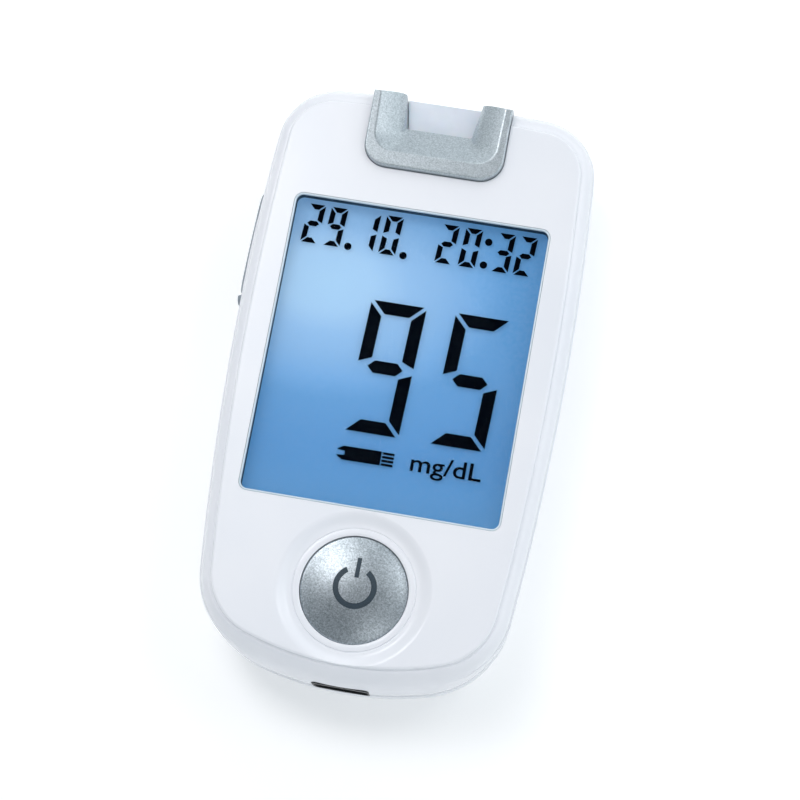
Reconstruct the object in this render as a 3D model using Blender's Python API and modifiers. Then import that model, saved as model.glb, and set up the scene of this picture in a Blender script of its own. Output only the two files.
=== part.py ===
"""A hand-held blood glucose meter, lying on its back with its display up.

The origin is the middle of the flat back. X runs across the meter, Y runs along
it towards the test-strip port, and Z runs up through the display. All lengths
are in metres. Each solid is one piece of the meter as it comes apart.
"""

import math

import bmesh
import bpy

# Case outline, seen from above: five tangent arcs on each side
CASE_WIDTH = 0.0540
CASE_LENGTH = 0.0980
WIDEST_Y = 0.01015
STRIP_END_ARC = 0.2960
SIDE_ARC = 0.4460
PORT_END_ARC = 0.0522
STRIP_CORNER = 0.0102
PORT_CORNER = 0.0136
LEAST_CORNER = 0.0010

# Case walls
CLEARANCE = 0.0003
WALL = 0.0016
FACE_THICKNESS = 0.0015
BACK_THICKNESS = 0.0015
PARTING_HEIGHT = 0.0100
LIP_STEP = 0.0003
RIM_ROUND = 0.0003
REBATE_WALL = 0.0007
TONGUE_LENGTH = 0.0012
RIM_STRAIGHT = 0.0015
BACK_INSET = 0.0045
BACK_ROLL_HEIGHT = 0.0072

# Sloping band between the face and the parting line
CREST_INSET_STRIP_END = 0.0038
CREST_INSET_SIDE = 0.0023
CREST_INSET_PORT_END = 0.0038
CREST_LEDGE = 0.00035
CREST_STEP = 0.0003
CREST_ROUND = 0.0005
BAND_ANGLE = math.radians(70)

# Battery compartment and its two cells
CELL_DIAMETER = 0.0105
CELL_LENGTH = 0.0445
CELL_NUB_DIAMETER = 0.0038
CELL_NUB_LENGTH = 0.0010
CELL_SHOULDER = 0.0006
CELL_PITCH = 0.0110
BAY_SIDE_ROOM = 0.00045
BAY_ROOF = 0.0008
BAY_WALL = 0.0010
BAY_FROM_END = 0.0190
CONTACT_THICKNESS = 0.0004
CONTACT_HEIGHT = 0.0080
CONTACT_WIDTH = 0.0080
SPRING_LENGTH = 0.0040
SPRING_WIRE = 0.0005
SPRING_WIDE_RADIUS = 0.0032
SPRING_NARROW_RADIUS = 0.0022

# Battery door
DOOR_THICKNESS = 0.0013
DOOR_LEDGE = 0.0010
DOOR_FRAME_WALL = 0.0010
DOOR_FRAME_HEIGHT = 0.0029
KNUCKLE_RADIUS = 0.0011
KNUCKLE_LIFT = 0.0001
KNUCKLE_OVERLAP = 0.00025
TRUNNION_RADIUS = 0.0005
TRUNNION_LENGTH = 0.0013
HINGE_BLOCK_HEIGHT = 0.0037
HINGE_BLOCK_WALL = 0.0012
LATCH_HALF_WIDTH = 0.0032
LATCH_SLIT = 0.0006
LATCH_LENGTH = 0.0060
HOOK_DEPTH = 0.0010
HOOK_RISE = 0.0010
THUMB_RADIUS = 0.0045
THUMB_DEPTH = 0.0009

# Circuit board
BOARD_THICKNESS = 0.0010
BOARD_EDGE_ROOM = 0.0026
BOARD_HOLE_ROOM = 0.0004

# Display: window pane, liquid-crystal panel, light guide and holder
WINDOW_SIDE_BORDER = 0.0063
WINDOW_DISH_GAP = 0.0010
WINDOW_BEZEL_GAP = 0.0062
WINDOW_CORNER = 0.0018
PANE_THICKNESS = 0.0010
PANE_MARGIN = 0.0010
PANEL_THICKNESS = 0.0018
PANEL_MARGIN = 0.0010
PANEL_CONTACT_LEDGE = 0.0031
GUIDE_THICKNESS = 0.0010
HOLDER_WALL = 0.0009
LED_WIDTH = 0.0025
LED_DEPTH = 0.0011
LED_HEIGHT = 0.0008
LED_OFFSET_X = 0.0080
CONNECTOR_STRIP_DEPTH = 0.0018

# Power button, its dished surround and its switch
BUTTON_FROM_END = 0.0156
BUTTON_RADIUS = 0.0084
BUTTON_DOME = 0.0009
BUTTON_RIM_ROUND = 0.0004
BUTTON_SKIN = 0.0012
BUTTON_SKIRT_WALL = 0.0010
BUTTON_FLANGE = 0.0012
BUTTON_FLANGE_HEIGHT = 0.0010
BUTTON_STEM_RADIUS = 0.0016
BUTTON_TRAVEL = 0.0005
DISH_WIDTH = 0.0028
DISH_DEPTH = 0.0008
COLLAR_WALL = 0.0016
COLLAR_HEIGHT = 0.0010
SWITCH_SIDE = 0.0060
SWITCH_HEIGHT = 0.0018
PLUNGER_RADIUS = 0.0015
PLUNGER_LENGTH = 0.0013
PLUNGER_SHOWING = 0.0006
SWITCH_WELL_SPARE = 0.0003

# Test-strip port: silver bezel, white guide and the connector behind
BEZEL_HALF_WIDTH = 0.0113
BEZEL_LENGTH = 0.0143
BEZEL_PROUD = 0.0012
BEZEL_DEPTH = 0.0060
BEZEL_CORNER = 0.0038
BEZEL_EDGE_ROUND = 0.0004
BEZEL_END_INSET = 0.0022
BEZEL_PEG_RADIUS = 0.0010
BEZEL_PEG_X = 0.0080
BEZEL_PEG_SETBACK = 0.0038
SCOOP_HALF_WIDTH = 0.0089
SCOOP_SETBACK = 0.0027
LIP_SETBACK = 0.0081
LIP_DROP = 0.0033
LIP_THICKNESS = 0.0007
CHANNEL_HALF_WIDTH = 0.0055
CHANNEL_DEPTH = 0.0052
SLOT_HALF_WIDTH = 0.0033
GUIDE_PLATE_THICKNESS = 0.0008
GUIDE_ENTRY_STEP = 0.0002
GUIDE_PLATE_FROM_END = 0.0011
GUIDE_BASE_HALF_WIDTH = 0.0070
GUIDE_BASE_FROM_END = 0.0030
CONNECTOR_HALF_WIDTH = 0.0054
CONNECTOR_SETBACK = 0.0023
CONNECTOR_LENGTH = 0.0041
CONNECTOR_HEIGHT = 0.0038
CONNECTOR_SLOT_HEIGHT = 0.0010
CONNECTOR_SLOT_LIFT = 0.0022
CAVITY_WALL = 0.0013
STRIP_CONTACT_COUNT = 3
STRIP_CONTACT_WIDTH = 0.0008
STRIP_CONTACT_PITCH = 0.0018
STRIP_CONTACT_THICKNESS = 0.0002
STRIP_CONTACT_REACH = 0.0032

# Side rocker on its pin, with a switch behind each end
ROCKER_FROM_END = 0.0286
ROCKER_LENGTH = 0.0180
ROCKER_HEIGHT = 0.0042
ROCKER_PROUD = 0.0008
ROCKER_THICKNESS = 0.0018
ROCKER_EDGE_ROUND = 0.0003
ROCKER_BULGE_POWER = 8
ROCKER_PIN_RADIUS = 0.0006
ROCKER_PIN_INSET = 0.0023
ROCKER_HUB_RADIUS = 0.0015
ROCKER_LUG_Y = 0.0063
ROCKER_LUG_WIDTH = 0.0020
ROCKER_LUG_REACH = 0.0013
PIN_SEAT_DEPTH = 0.0010
PIN_EAR_THICKNESS = 0.0015
SIDE_SWITCH_LENGTH = 0.0045
SIDE_SWITCH_DEPTH = 0.0035
SIDE_SWITCH_HEIGHT = 0.0030
SIDE_BUTTON_WIDTH = 0.0016
SIDE_BUTTON_REACH = 0.0006
SIDE_BUTTON_HEIGHT = 0.0012

# Data port in the lower end
PORT_WIDTH = 0.0084
PORT_HEIGHT = 0.0036
PORT_LENGTH = 0.0080
PORT_FROM_END = 0.0014
PORT_SHEET = 0.0004
PORT_MOUTH_ROOM = 0.0004
PORT_TONGUE_HALF_WIDTH = 0.0030
PORT_TONGUE_THICKNESS = 0.0008
PORT_TONGUE_SETBACK = 0.0012
PORT_PLUG_BLOCK = 0.0012

# Screws and their bosses
SCREW_SIDE_PORT_END = 0.0095
SCREW_SIDE_STRIP_END = 0.0100
SCREW_BAY_GAP = 0.0003
SCREW_HOLDER_GAP = 0.0010
SCREW_RADIUS = 0.0008
SCREW_HEAD_RADIUS = 0.0018
SCREW_HEAD_HEIGHT = 0.0014
SCREW_LENGTH = 0.0092
SCREW_SEAT_HEIGHT = 0.0034
SCREW_TIP_ROOM = 0.0008
BOSS_WALL = 0.0015
REAR_BOSS_WALL = 0.0009
BOARD_SCREW_HOLDER_GAP = 0.0014
BOARD_SCREW_HEAD_HEIGHT = 0.0009
BOARD_SCREW_HEAD_RADIUS = 0.0014
BOARD_SCREW_LENGTH = 0.0032
BOARD_SCREW_RADIUS = 0.0007
BOARD_POST_WALL = 0.0009

# Components under the board
CHIP_SIDE = 0.0070
CHIP_HEIGHT = 0.0012
CHIP_Y = -0.0030
MEMORY_WIDTH = 0.0050
MEMORY_LENGTH = 0.0040
MEMORY_HEIGHT = 0.0009
MEMORY_Y = -0.0120
CRYSTAL_RADIUS = 0.0007
CRYSTAL_LENGTH = 0.0050
CRYSTAL_Y = 0.0060
SOUNDER_RADIUS = 0.0038
SOUNDER_HEIGHT = 0.0021
SOUNDER_Y = -0.0080

# Small allowances: how far a cutter passes a face, and how far joined shapes overlap
OVERRUN = 0.0020
EMBED = 0.0005
MERGE = 0.000001

# Heights, worked out from the back up through everything that the case holds
CELL_AXIS_HEIGHT = DOOR_THICKNESS + CLEARANCE + CELL_DIAMETER / 2
BAY_CEILING = CELL_AXIS_HEIGHT + CELL_DIAMETER / 2 + CLEARANCE
BAY_TOP = BAY_CEILING + BAY_ROOF
BOARD_BOTTOM = BAY_TOP + CLEARANCE
BOARD_TOP = BOARD_BOTTOM + BOARD_THICKNESS
ON_BOARD = BOARD_TOP + CLEARANCE
UNDER_BOARD = BOARD_BOTTOM - CLEARANCE
GUIDE_TOP = ON_BOARD + GUIDE_THICKNESS
PANEL_BOTTOM = GUIDE_TOP + CLEARANCE
PANEL_TOP = PANEL_BOTTOM + PANEL_THICKNESS
PANE_BOTTOM = PANEL_TOP + CLEARANCE
PANE_TOP = PANE_BOTTOM + PANE_THICKNESS
FACE_UNDERSIDE = PANE_TOP + CLEARANCE
CASE_HEIGHT = FACE_UNDERSIDE + FACE_THICKNESS
BEZEL_TOP = CASE_HEIGHT + BEZEL_PROUD
BEZEL_BOTTOM = BEZEL_TOP - BEZEL_DEPTH
CHANNEL_FLOOR = BEZEL_TOP - CHANNEL_DEPTH
LIP_TOP = BEZEL_TOP - LIP_DROP
LIP_UNDERSIDE = LIP_TOP - LIP_THICKNESS
BUTTON_RIM_HEIGHT = CASE_HEIGHT - DISH_DEPTH
COLLAR_BOTTOM = FACE_UNDERSIDE - COLLAR_HEIGHT
REAR_RIM = PARTING_HEIGHT - CLEARANCE

# Places along the battery compartment
BAY_HALF_WIDTH = CELL_PITCH / 2 + CELL_DIAMETER / 2 + BAY_SIDE_ROOM
BAY_PORT_END_Y = BAY_FROM_END - CASE_LENGTH / 2
CELL_SEAT = CONTACT_THICKNESS + SPRING_LENGTH + 3 * CLEARANCE
BAY_STRIP_END_Y = BAY_PORT_END_Y + CELL_SEAT + CELL_LENGTH + CONTACT_THICKNESS + 2 * CLEARANCE
DOOR_HALF_WIDTH = BAY_HALF_WIDTH + DOOR_LEDGE
DOOR_OPENING_HALF_WIDTH = DOOR_HALF_WIDTH + CLEARANCE
DOOR_END_Y = BAY_PORT_END_Y - DOOR_LEDGE
HINGE_Y = BAY_STRIP_END_Y + BAY_WALL + CLEARANCE + KNUCKLE_RADIUS
HINGE_HEIGHT = KNUCKLE_RADIUS + KNUCKLE_LIFT
BESIDE_BAY = (BAY_HALF_WIDTH + BAY_WALL + CASE_WIDTH / 2 - LIP_STEP - WALL) / 2

# Places along the face: button, display and strip port, from the two ends of the case
BUTTON_Y = BUTTON_FROM_END - CASE_LENGTH / 2
DISH_RADIUS = BUTTON_RADIUS + CLEARANCE + DISH_WIDTH
BEZEL_START_Y = CASE_LENGTH / 2 - BEZEL_LENGTH
SCOOP_START_Y = BEZEL_START_Y + SCOOP_SETBACK
LIP_Y = BEZEL_START_Y + LIP_SETBACK
GUIDE_PLATE_END_Y = CASE_LENGTH / 2 - GUIDE_PLATE_FROM_END
GUIDE_BASE_END_Y = CASE_LENGTH / 2 - GUIDE_BASE_FROM_END
CONNECTOR_START_Y = BEZEL_START_Y + CONNECTOR_SETBACK
CONNECTOR_END_Y = CONNECTOR_START_Y + CONNECTOR_LENGTH
WINDOW_HALF_WIDTH = CASE_WIDTH / 2 - WINDOW_SIDE_BORDER
WINDOW_LOW_Y = BUTTON_Y + DISH_RADIUS + WINDOW_DISH_GAP
WINDOW_HIGH_Y = BEZEL_START_Y - WINDOW_BEZEL_GAP
PANEL_HALF_WIDTH = WINDOW_HALF_WIDTH + PANEL_MARGIN
PANEL_LOW_Y = WINDOW_LOW_Y - PANEL_MARGIN
PANEL_HIGH_Y = WINDOW_HIGH_Y + PANEL_MARGIN + PANEL_CONTACT_LEDGE
HOLDER_LOW_Y = PANEL_LOW_Y - CLEARANCE - HOLDER_WALL
HOLDER_HIGH_Y = PANEL_HIGH_Y + CLEARANCE + HOLDER_WALL
ROCKER_Y = CASE_LENGTH / 2 - ROCKER_FROM_END
PORT_MOUTH_Y = PORT_FROM_END - CASE_LENGTH / 2

# Places of the screws, clear of the battery compartment and the display holder
BOSS_RADIUS = SCREW_RADIUS + CLEARANCE + BOSS_WALL
REAR_BOSS_RADIUS = SCREW_HEAD_RADIUS + CLEARANCE + REAR_BOSS_WALL
POST_RADIUS = BOARD_SCREW_RADIUS + CLEARANCE + BOARD_POST_WALL
SCREW_PORT_X = CASE_WIDTH / 2 - SCREW_SIDE_PORT_END
SCREW_STRIP_X = CASE_WIDTH / 2 - SCREW_SIDE_STRIP_END
SCREW_PORT_Y = BAY_PORT_END_Y - BAY_WALL - SCREW_BAY_GAP - REAR_BOSS_RADIUS
SCREW_STRIP_Y = HOLDER_HIGH_Y + SCREW_HOLDER_GAP + BOSS_RADIUS
BOARD_SCREW_Y = HOLDER_LOW_Y - BOARD_SCREW_HOLDER_GAP - POST_RADIUS

# How finely curves are drawn
ARC_STEPS = (4, 8, 8, 10, 4)
BAND_HEIGHT_SHARES = (0.25, 0.5, 0.72, 0.88, 1.0)
INNER_BAND_HEIGHT_SHARES = (0.5, 0.8)
BACK_ROLL_SHARES = (0.0, 0.2, 0.4, 0.6, 0.8, 1.0)
INNER_ROLL_SHARES = (0.0, 0.35, 0.7, 1.0)
ROUND_STEPS = 24
BUTTON_STEPS = 48
CORNER_STEPS = 5
SHOULDER_STEPS = 8
SPRING_TURNS = 4
SPRING_TURN_STEPS = 10
SMOOTH_ANGLE = math.radians(35)

FULL_TURN = 2 * math.pi
QUARTER_TURN = math.pi / 2


# Scene, materials and joining

for leftover in list(bpy.data.objects):
    bpy.data.objects.remove(leftover, do_unlink=True)

METER = bpy.data.collections.new("blood_glucose_meter")
CUTTERS = bpy.data.collections.new("cutters")
bpy.context.scene.collection.children.link(METER)
bpy.context.scene.collection.children.link(CUTTERS)


def finish(name, colour, roughness, metallic=0.0, alpha=1.0):
    """A material with one colour, roughness and metallic value."""
    look = bpy.data.materials.new(name)
    look.use_nodes = True
    shader = look.node_tree.nodes["Principled BSDF"]
    shader.inputs["Base Color"].default_value = (*colour, 1.0)
    shader.inputs["Roughness"].default_value = roughness
    shader.inputs["Metallic"].default_value = metallic
    shader.inputs["Alpha"].default_value = alpha
    look.diffuse_color = (*colour, alpha)
    return look


WHITE_GLOSS = finish("white_gloss_abs", (0.86, 0.88, 0.93), 0.14)
WHITE_SATIN = finish("white_satin_abs", (0.82, 0.84, 0.88), 0.35)
WHITE_KEY = finish("white_key_abs", (0.88, 0.90, 0.94), 0.22)
WHITE_GUIDE = finish("translucent_white_polycarbonate", (0.88, 0.90, 0.94), 0.3)
SILVER_PAINT = finish("silver_painted_abs", (0.52, 0.57, 0.61), 0.34, 0.8)
CLEAR_PANE = finish("clear_acrylic", (0.90, 0.95, 1.00), 0.04, 0.0, 0.25)
BLUE_PANEL = finish("blue_liquid_crystal_panel", (0.22, 0.48, 0.86), 0.2)
MILK_ACRYLIC = finish("milky_acrylic", (0.80, 0.88, 0.96), 0.3)
BLACK_PLASTIC = finish("black_moulded_plastic", (0.03, 0.03, 0.035), 0.45)
CARBON_RUBBER = finish("carbon_silicone_rubber", (0.12, 0.12, 0.13), 0.6)
GREEN_BOARD = finish("green_fibreglass_board", (0.03, 0.22, 0.10), 0.4)
NICKEL = finish("nickel_plated_steel", (0.66, 0.65, 0.62), 0.25, 1.0)
GOLD = finish("gold_plated_bronze", (0.83, 0.62, 0.24), 0.25, 1.0)
CELL_WRAP = finish("printed_cell_wrap", (0.08, 0.12, 0.22), 0.3)
STEEL = finish("zinc_plated_steel", (0.60, 0.61, 0.63), 0.3, 1.0)


def settle(piece, name, look):
    """Names a new object. With a material it is a piece; without one, a cutter."""
    piece.name = name
    piece.data.name = name
    for home in list(piece.users_collection):
        home.objects.unlink(piece)
    if look is None:
        CUTTERS.objects.link(piece)
        piece.hide_render = True
        piece.display_type = "WIRE"
        return piece
    METER.objects.link(piece)
    piece.data.materials.append(look)
    return piece


def smooth(piece):
    """Smooth shading with sharp edges where faces meet at a clear angle."""
    piece.data.shade_smooth()
    piece.data.set_sharp_from_angle(angle=SMOOTH_ANGLE)
    return piece


def combine(body, other, operation):
    """Adds one Boolean modifier to the body."""
    modifier = body.modifiers.new(operation.lower() + "_" + other.name, "BOOLEAN")
    modifier.operation = operation
    modifier.object = other
    return body


def cut(body, *cutters):
    """Takes each cutter away from the body."""
    for cutter in cutters:
        combine(body, cutter, "DIFFERENCE")
    return body


def join(body, *others):
    """Joins each other shape to the body."""
    for other in others:
        combine(body, other, "UNION")
    return body


def round_edges(piece, width):
    """Rounds every sharp edge of a plain block."""
    bevel = piece.modifiers.new("rounded_edges", "BEVEL")
    bevel.width = width
    bevel.segments = 2
    bevel.limit_method = "ANGLE"
    return piece


def put_on_pivot(piece, name, place):
    """Parents a moving piece to an empty on its joint's axis, where it stays put."""
    pivot = bpy.data.objects.new(name, None)
    pivot.location = place
    METER.objects.link(pivot)
    bpy.context.view_layer.update()
    piece.parent = pivot
    piece.matrix_parent_inverse = pivot.matrix_world.inverted()
    return pivot


# Shapes

def box(name, low, high, look=None):
    """A block between two opposite corners."""
    middle = [(a + b) / 2 for a, b in zip(low, high)]
    bpy.ops.mesh.primitive_cube_add(size=1, location=middle)
    piece = bpy.context.active_object
    piece.scale = [b - a for a, b in zip(low, high)]
    bpy.ops.object.transform_apply(location=False, rotation=False, scale=True)
    return settle(piece, name, look)


def cylinder(name, radius, start, end, look=None, steps=ROUND_STEPS):
    """A round bar between two points on a line along X, Y or Z."""
    along = [b - a for a, b in zip(start, end)]
    middle = [(a + b) / 2 for a, b in zip(start, end)]
    turn = (0, 0, 0)
    if along[0]:
        turn = (0, QUARTER_TURN, 0)
    elif along[1]:
        turn = (QUARTER_TURN, 0, 0)
    bpy.ops.mesh.primitive_cylinder_add(
        vertices=steps, radius=radius, depth=abs(sum(along)), location=middle, rotation=turn
    )
    return smooth(settle(bpy.context.active_object, name, look))


def turned(name, profile, place, look=None, steps=ROUND_STEPS):
    """A turned shape: the profile's (radius, height) points, top to bottom, about Z."""
    mesh = bpy.data.meshes.new(name)
    points = [(radius, 0, height) for radius, height in profile]
    mesh.from_pydata(points, [(i, i + 1) for i in range(len(points) - 1)], [])
    piece = bpy.data.objects.new(name, mesh)
    piece.location = place
    bpy.context.scene.collection.objects.link(piece)
    screw = piece.modifiers.new("turning", "SCREW")
    screw.steps = steps
    screw.render_steps = steps
    screw.use_merge_vertices = True
    screw.merge_threshold = MERGE
    screw.use_smooth_shade = False
    return settle(piece, name, look)


def solid_of_curve(curve_object, name, look):
    """Turns a curve object into a closed mesh object in the same place."""
    bpy.context.scene.collection.objects.link(curve_object)
    graph = bpy.context.evaluated_depsgraph_get()
    mesh = bpy.data.meshes.new_from_object(curve_object.evaluated_get(graph))
    shape = bmesh.new()
    shape.from_mesh(mesh)
    bmesh.ops.remove_doubles(shape, verts=shape.verts, dist=MERGE)
    bmesh.ops.recalc_face_normals(shape, faces=shape.faces)
    shape.to_mesh(mesh)
    shape.free()
    piece = bpy.data.objects.new(name, mesh)
    piece.matrix_world = curve_object.matrix_world
    bpy.context.scene.collection.objects.link(piece)
    bpy.data.objects.remove(curve_object, do_unlink=True)
    return settle(piece, name, look)


def slab(name, outline, low, high, look=None):
    """A flat outline in X and Y, given its thickness between two heights."""
    curve = bpy.data.curves.new(name, "CURVE")
    curve.dimensions = "2D"
    curve.fill_mode = "BOTH"
    curve.extrude = (high - low) / 2
    spline = curve.splines.new("POLY")
    spline.points.add(len(outline) - 1)
    for point, (x, y) in zip(spline.points, outline):
        point.co = (x, y, 0, 1)
    spline.use_cyclic_u = True
    flat = bpy.data.objects.new(name, curve)
    flat.location = (0, 0, (low + high) / 2)
    bpy.context.view_layer.update()
    return solid_of_curve(flat, name, look)


def prism(name, outline, axis, low, high):
    """A cutter: a flat outline carried along X, with points (y, z), or along Y, with (x, z)."""
    mesh = bpy.data.meshes.new(name)
    shape = bmesh.new()
    ends = []
    for along in (low, high):
        if axis == "X":
            points = [(along, a, b) for a, b in outline]
        else:
            points = [(a, along, b) for a, b in outline]
        ends.append([shape.verts.new(point) for point in points])
    skin(shape, ends)
    shape.to_mesh(mesh)
    shape.free()
    piece = bpy.data.objects.new(name, mesh)
    bpy.context.scene.collection.objects.link(piece)
    return settle(piece, name, None)


def skin(shape, loops):
    """Closes a stack of equal point loops with side faces and two end faces."""
    for lower, upper in zip(loops, loops[1:]):
        for i, corner in enumerate(lower):
            j = (i + 1) % len(lower)
            shape.faces.new((corner, lower[j], upper[j], upper[i]))
    shape.faces.new(loops[0])
    shape.faces.new(loops[-1])
    bmesh.ops.recalc_face_normals(shape, faces=shape.faces)


def loft(name, rings, look=None):
    """A closed body through level rings, each an outline and its height."""
    mesh = bpy.data.meshes.new(name)
    shape = bmesh.new()
    loops = []
    for outline, height in rings:
        loops.append([shape.verts.new((x, y, height)) for x, y in outline])
    skin(shape, loops)
    shape.to_mesh(mesh)
    shape.free()
    piece = bpy.data.objects.new(name, mesh)
    bpy.context.scene.collection.objects.link(piece)
    return smooth(settle(piece, name, look))


def rounded_rectangle(half_width, start, end, corner, steps=CORNER_STEPS):
    """Outline of a rectangle about the Y axis, with four equal round corners."""
    points = []
    middles = (
        (half_width - corner, end - corner),
        (corner - half_width, end - corner),
        (corner - half_width, start + corner),
        (half_width - corner, start + corner),
    )
    for quarter, (x, y) in enumerate(middles):
        for i in range(steps + 1):
            angle = QUARTER_TURN * (quarter + i / steps)
            points.append((x + corner * math.cos(angle), y + corner * math.sin(angle)))
    return points


def touch_point(middle_a, reach_a, middle_b, reach_b, side):
    """Where two circles cross, on the side of higher Y (1) or of lower Y (-1)."""
    dx = middle_b[0] - middle_a[0]
    dy = middle_b[1] - middle_a[1]
    apart = math.hypot(dx, dy)
    along = (reach_a**2 - reach_b**2 + apart**2) / (2 * apart)
    across = math.sqrt(max(reach_a**2 - along**2, 0))
    foot = (middle_a[0] + along * dx / apart, middle_a[1] + along * dy / apart)
    first = (foot[0] + across * dy / apart, foot[1] - across * dx / apart)
    second = (foot[0] - across * dy / apart, foot[1] + across * dx / apart)
    return max(first, second, key=lambda point: side * point[1])


def direction(middle, point):
    """The angle at which a point is seen from a middle."""
    return math.atan2(point[1] - middle[1], point[0] - middle[0])


def case_outline(strip_inset, side_inset, port_inset):
    """The case seen from above, drawn in by its own amount at each end and each side.

    The right half runs from the strip end to the port end along five tangent
    arcs: end, corner, side, corner, end. The left half mirrors it.
    """
    half_length = CASE_LENGTH / 2
    middle_strip = (0, half_length - STRIP_END_ARC)
    middle_side = (CASE_WIDTH / 2 - SIDE_ARC, WIDEST_Y)
    middle_port = (0, PORT_END_ARC - half_length)
    arc_strip = STRIP_END_ARC - strip_inset
    arc_side = SIDE_ARC - side_inset
    arc_port = PORT_END_ARC - port_inset
    corner_strip = max(STRIP_CORNER - (strip_inset + side_inset) / 2, LEAST_CORNER)
    corner_port = max(PORT_CORNER - (port_inset + side_inset) / 2, LEAST_CORNER)
    turn_strip = touch_point(
        middle_strip, arc_strip - corner_strip, middle_side, arc_side - corner_strip, 1
    )
    turn_port = touch_point(
        middle_side, arc_side - corner_port, middle_port, arc_port - corner_port, -1
    )
    angles = (
        QUARTER_TURN,
        direction(middle_strip, turn_strip),
        direction(middle_side, turn_strip),
        direction(middle_side, turn_port),
        direction(middle_port, turn_port),
        -QUARTER_TURN,
    )
    arcs = (
        (middle_strip, arc_strip),
        (turn_strip, corner_strip),
        (middle_side, arc_side),
        (turn_port, corner_port),
        (middle_port, arc_port),
    )
    right = []
    for ((x, y), radius), start, end, steps in zip(arcs, angles, angles[1:], ARC_STEPS):
        for i in range(steps):
            angle = start + (end - start) * i / steps
            right.append((x + radius * math.cos(angle), y + radius * math.sin(angle)))
    right.append((0, port_inset - half_length))
    left = [(-x, y) for x, y in reversed(right[1:-1])]
    return right + left


def even_outline(inset):
    """The case seen from above, drawn in by the same amount all round."""
    return case_outline(inset, inset, inset)


def side_edge(y, inset):
    """How far out the case's side lies at a place along it."""
    return CASE_WIDTH / 2 - SIDE_ARC + math.sqrt((SIDE_ARC - inset) ** 2 - (y - WIDEST_Y) ** 2)


# Front cover

def band_inset_share(height_share):
    """How far in the sloping band lies at a height: an ellipse, upright at its foot."""
    angle = math.asin(height_share * math.sin(BAND_ANGLE))
    return (1 - math.cos(angle)) / (1 - math.cos(BAND_ANGLE))


def band_ring(height_share, foot, crest, strip_crest_inset, extra=0):
    """One ring of the band, between its foot and crest heights."""
    share = band_inset_share(height_share)
    insets = []
    for crest_inset in (strip_crest_inset, CREST_INSET_SIDE, CREST_INSET_PORT_END):
        insets.append(LIP_STEP + share * (crest_inset - CREST_LEDGE - LIP_STEP) + extra)
    return case_outline(*insets), foot + height_share * (crest - foot)


def crest_outline(inwards):
    """The outline of the raised face, drawn in from its edge."""
    return case_outline(
        CREST_INSET_STRIP_END + inwards,
        CREST_INSET_SIDE + inwards,
        CREST_INSET_PORT_END + inwards,
    )


def front_shell():
    """The bare front cover: a tray, open downwards, with a tongue below its rim."""
    foot = PARTING_HEIGHT + RIM_STRAIGHT
    crest = CASE_HEIGHT - CREST_ROUND - CREST_STEP
    tongue_inset = REBATE_WALL + CLEARANCE
    inner_inset = LIP_STEP + WALL
    tongue_bottom = PARTING_HEIGHT - TONGUE_LENGTH
    top_share = (FACE_UNDERSIDE - foot) / (crest - foot)
    rings = [band_ring(top_share, foot, crest, CREST_INSET_STRIP_END, WALL)]
    for share in reversed(INNER_BAND_HEIGHT_SHARES):
        rings.append(band_ring(share * top_share, foot, crest, CREST_INSET_STRIP_END, WALL))
    rings.append((even_outline(inner_inset), foot))
    rings.append((even_outline(inner_inset), tongue_bottom))
    rings.append((even_outline(tongue_inset), tongue_bottom))
    rings.append((even_outline(tongue_inset), PARTING_HEIGHT))
    rings.append((even_outline(LIP_STEP), PARTING_HEIGHT))
    rings.append((even_outline(LIP_STEP), foot))
    for share in BAND_HEIGHT_SHARES:
        rings.append(band_ring(share, foot, crest, CREST_INSET_STRIP_END))
    rings.append((crest_outline(0), crest))
    rings.append((crest_outline(0), crest + CREST_STEP))
    for share in (0.5, 1.0):
        angle = QUARTER_TURN * share
        rings.append(
            (
                crest_outline(CREST_ROUND * (1 - math.cos(angle))),
                crest + CREST_STEP + CREST_ROUND * math.sin(angle),
            )
        )
    return loft("front_cover", rings, WHITE_GLOSS)


def screw_places():
    """The four case screws, by name."""
    return {
        "strip_left": (-SCREW_STRIP_X, SCREW_STRIP_Y),
        "strip_right": (SCREW_STRIP_X, SCREW_STRIP_Y),
        "port_left": (-SCREW_PORT_X, SCREW_PORT_Y),
        "port_right": (SCREW_PORT_X, SCREW_PORT_Y),
    }


def board_screw_places():
    """The two board screws, by name."""
    return {"left": (-BESIDE_BAY, BOARD_SCREW_Y), "right": (BESIDE_BAY, BOARD_SCREW_Y)}


def add_front_bosses(cover):
    """Posts under the face for the case screws and the board screws."""
    hole_radius = SCREW_RADIUS + CLEARANCE
    hole_top = SCREW_SEAT_HEIGHT - CLEARANCE + SCREW_LENGTH + SCREW_TIP_ROOM
    for name, (x, y) in screw_places().items():
        post = cylinder(
            "front_boss_" + name,
            BOSS_RADIUS,
            (x, y, PARTING_HEIGHT),
            (x, y, FACE_UNDERSIDE + EMBED),
        )
        hole = cylinder(
            "front_boss_hole_" + name,
            hole_radius,
            (x, y, PARTING_HEIGHT - OVERRUN),
            (x, y, hole_top),
        )
        join(cover, post)
        cut(cover, hole)
    hole_radius = BOARD_SCREW_RADIUS + CLEARANCE
    for name, (x, y) in board_screw_places().items():
        post = cylinder(
            "board_post_" + name,
            POST_RADIUS,
            (x, y, ON_BOARD),
            (x, y, FACE_UNDERSIDE + EMBED),
        )
        hole = cylinder(
            "board_post_hole_" + name,
            hole_radius,
            (x, y, ON_BOARD - OVERRUN),
            (x, y, UNDER_BOARD + BOARD_SCREW_LENGTH + SCREW_TIP_ROOM),
        )
        join(cover, post)
        cut(cover, hole)


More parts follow.
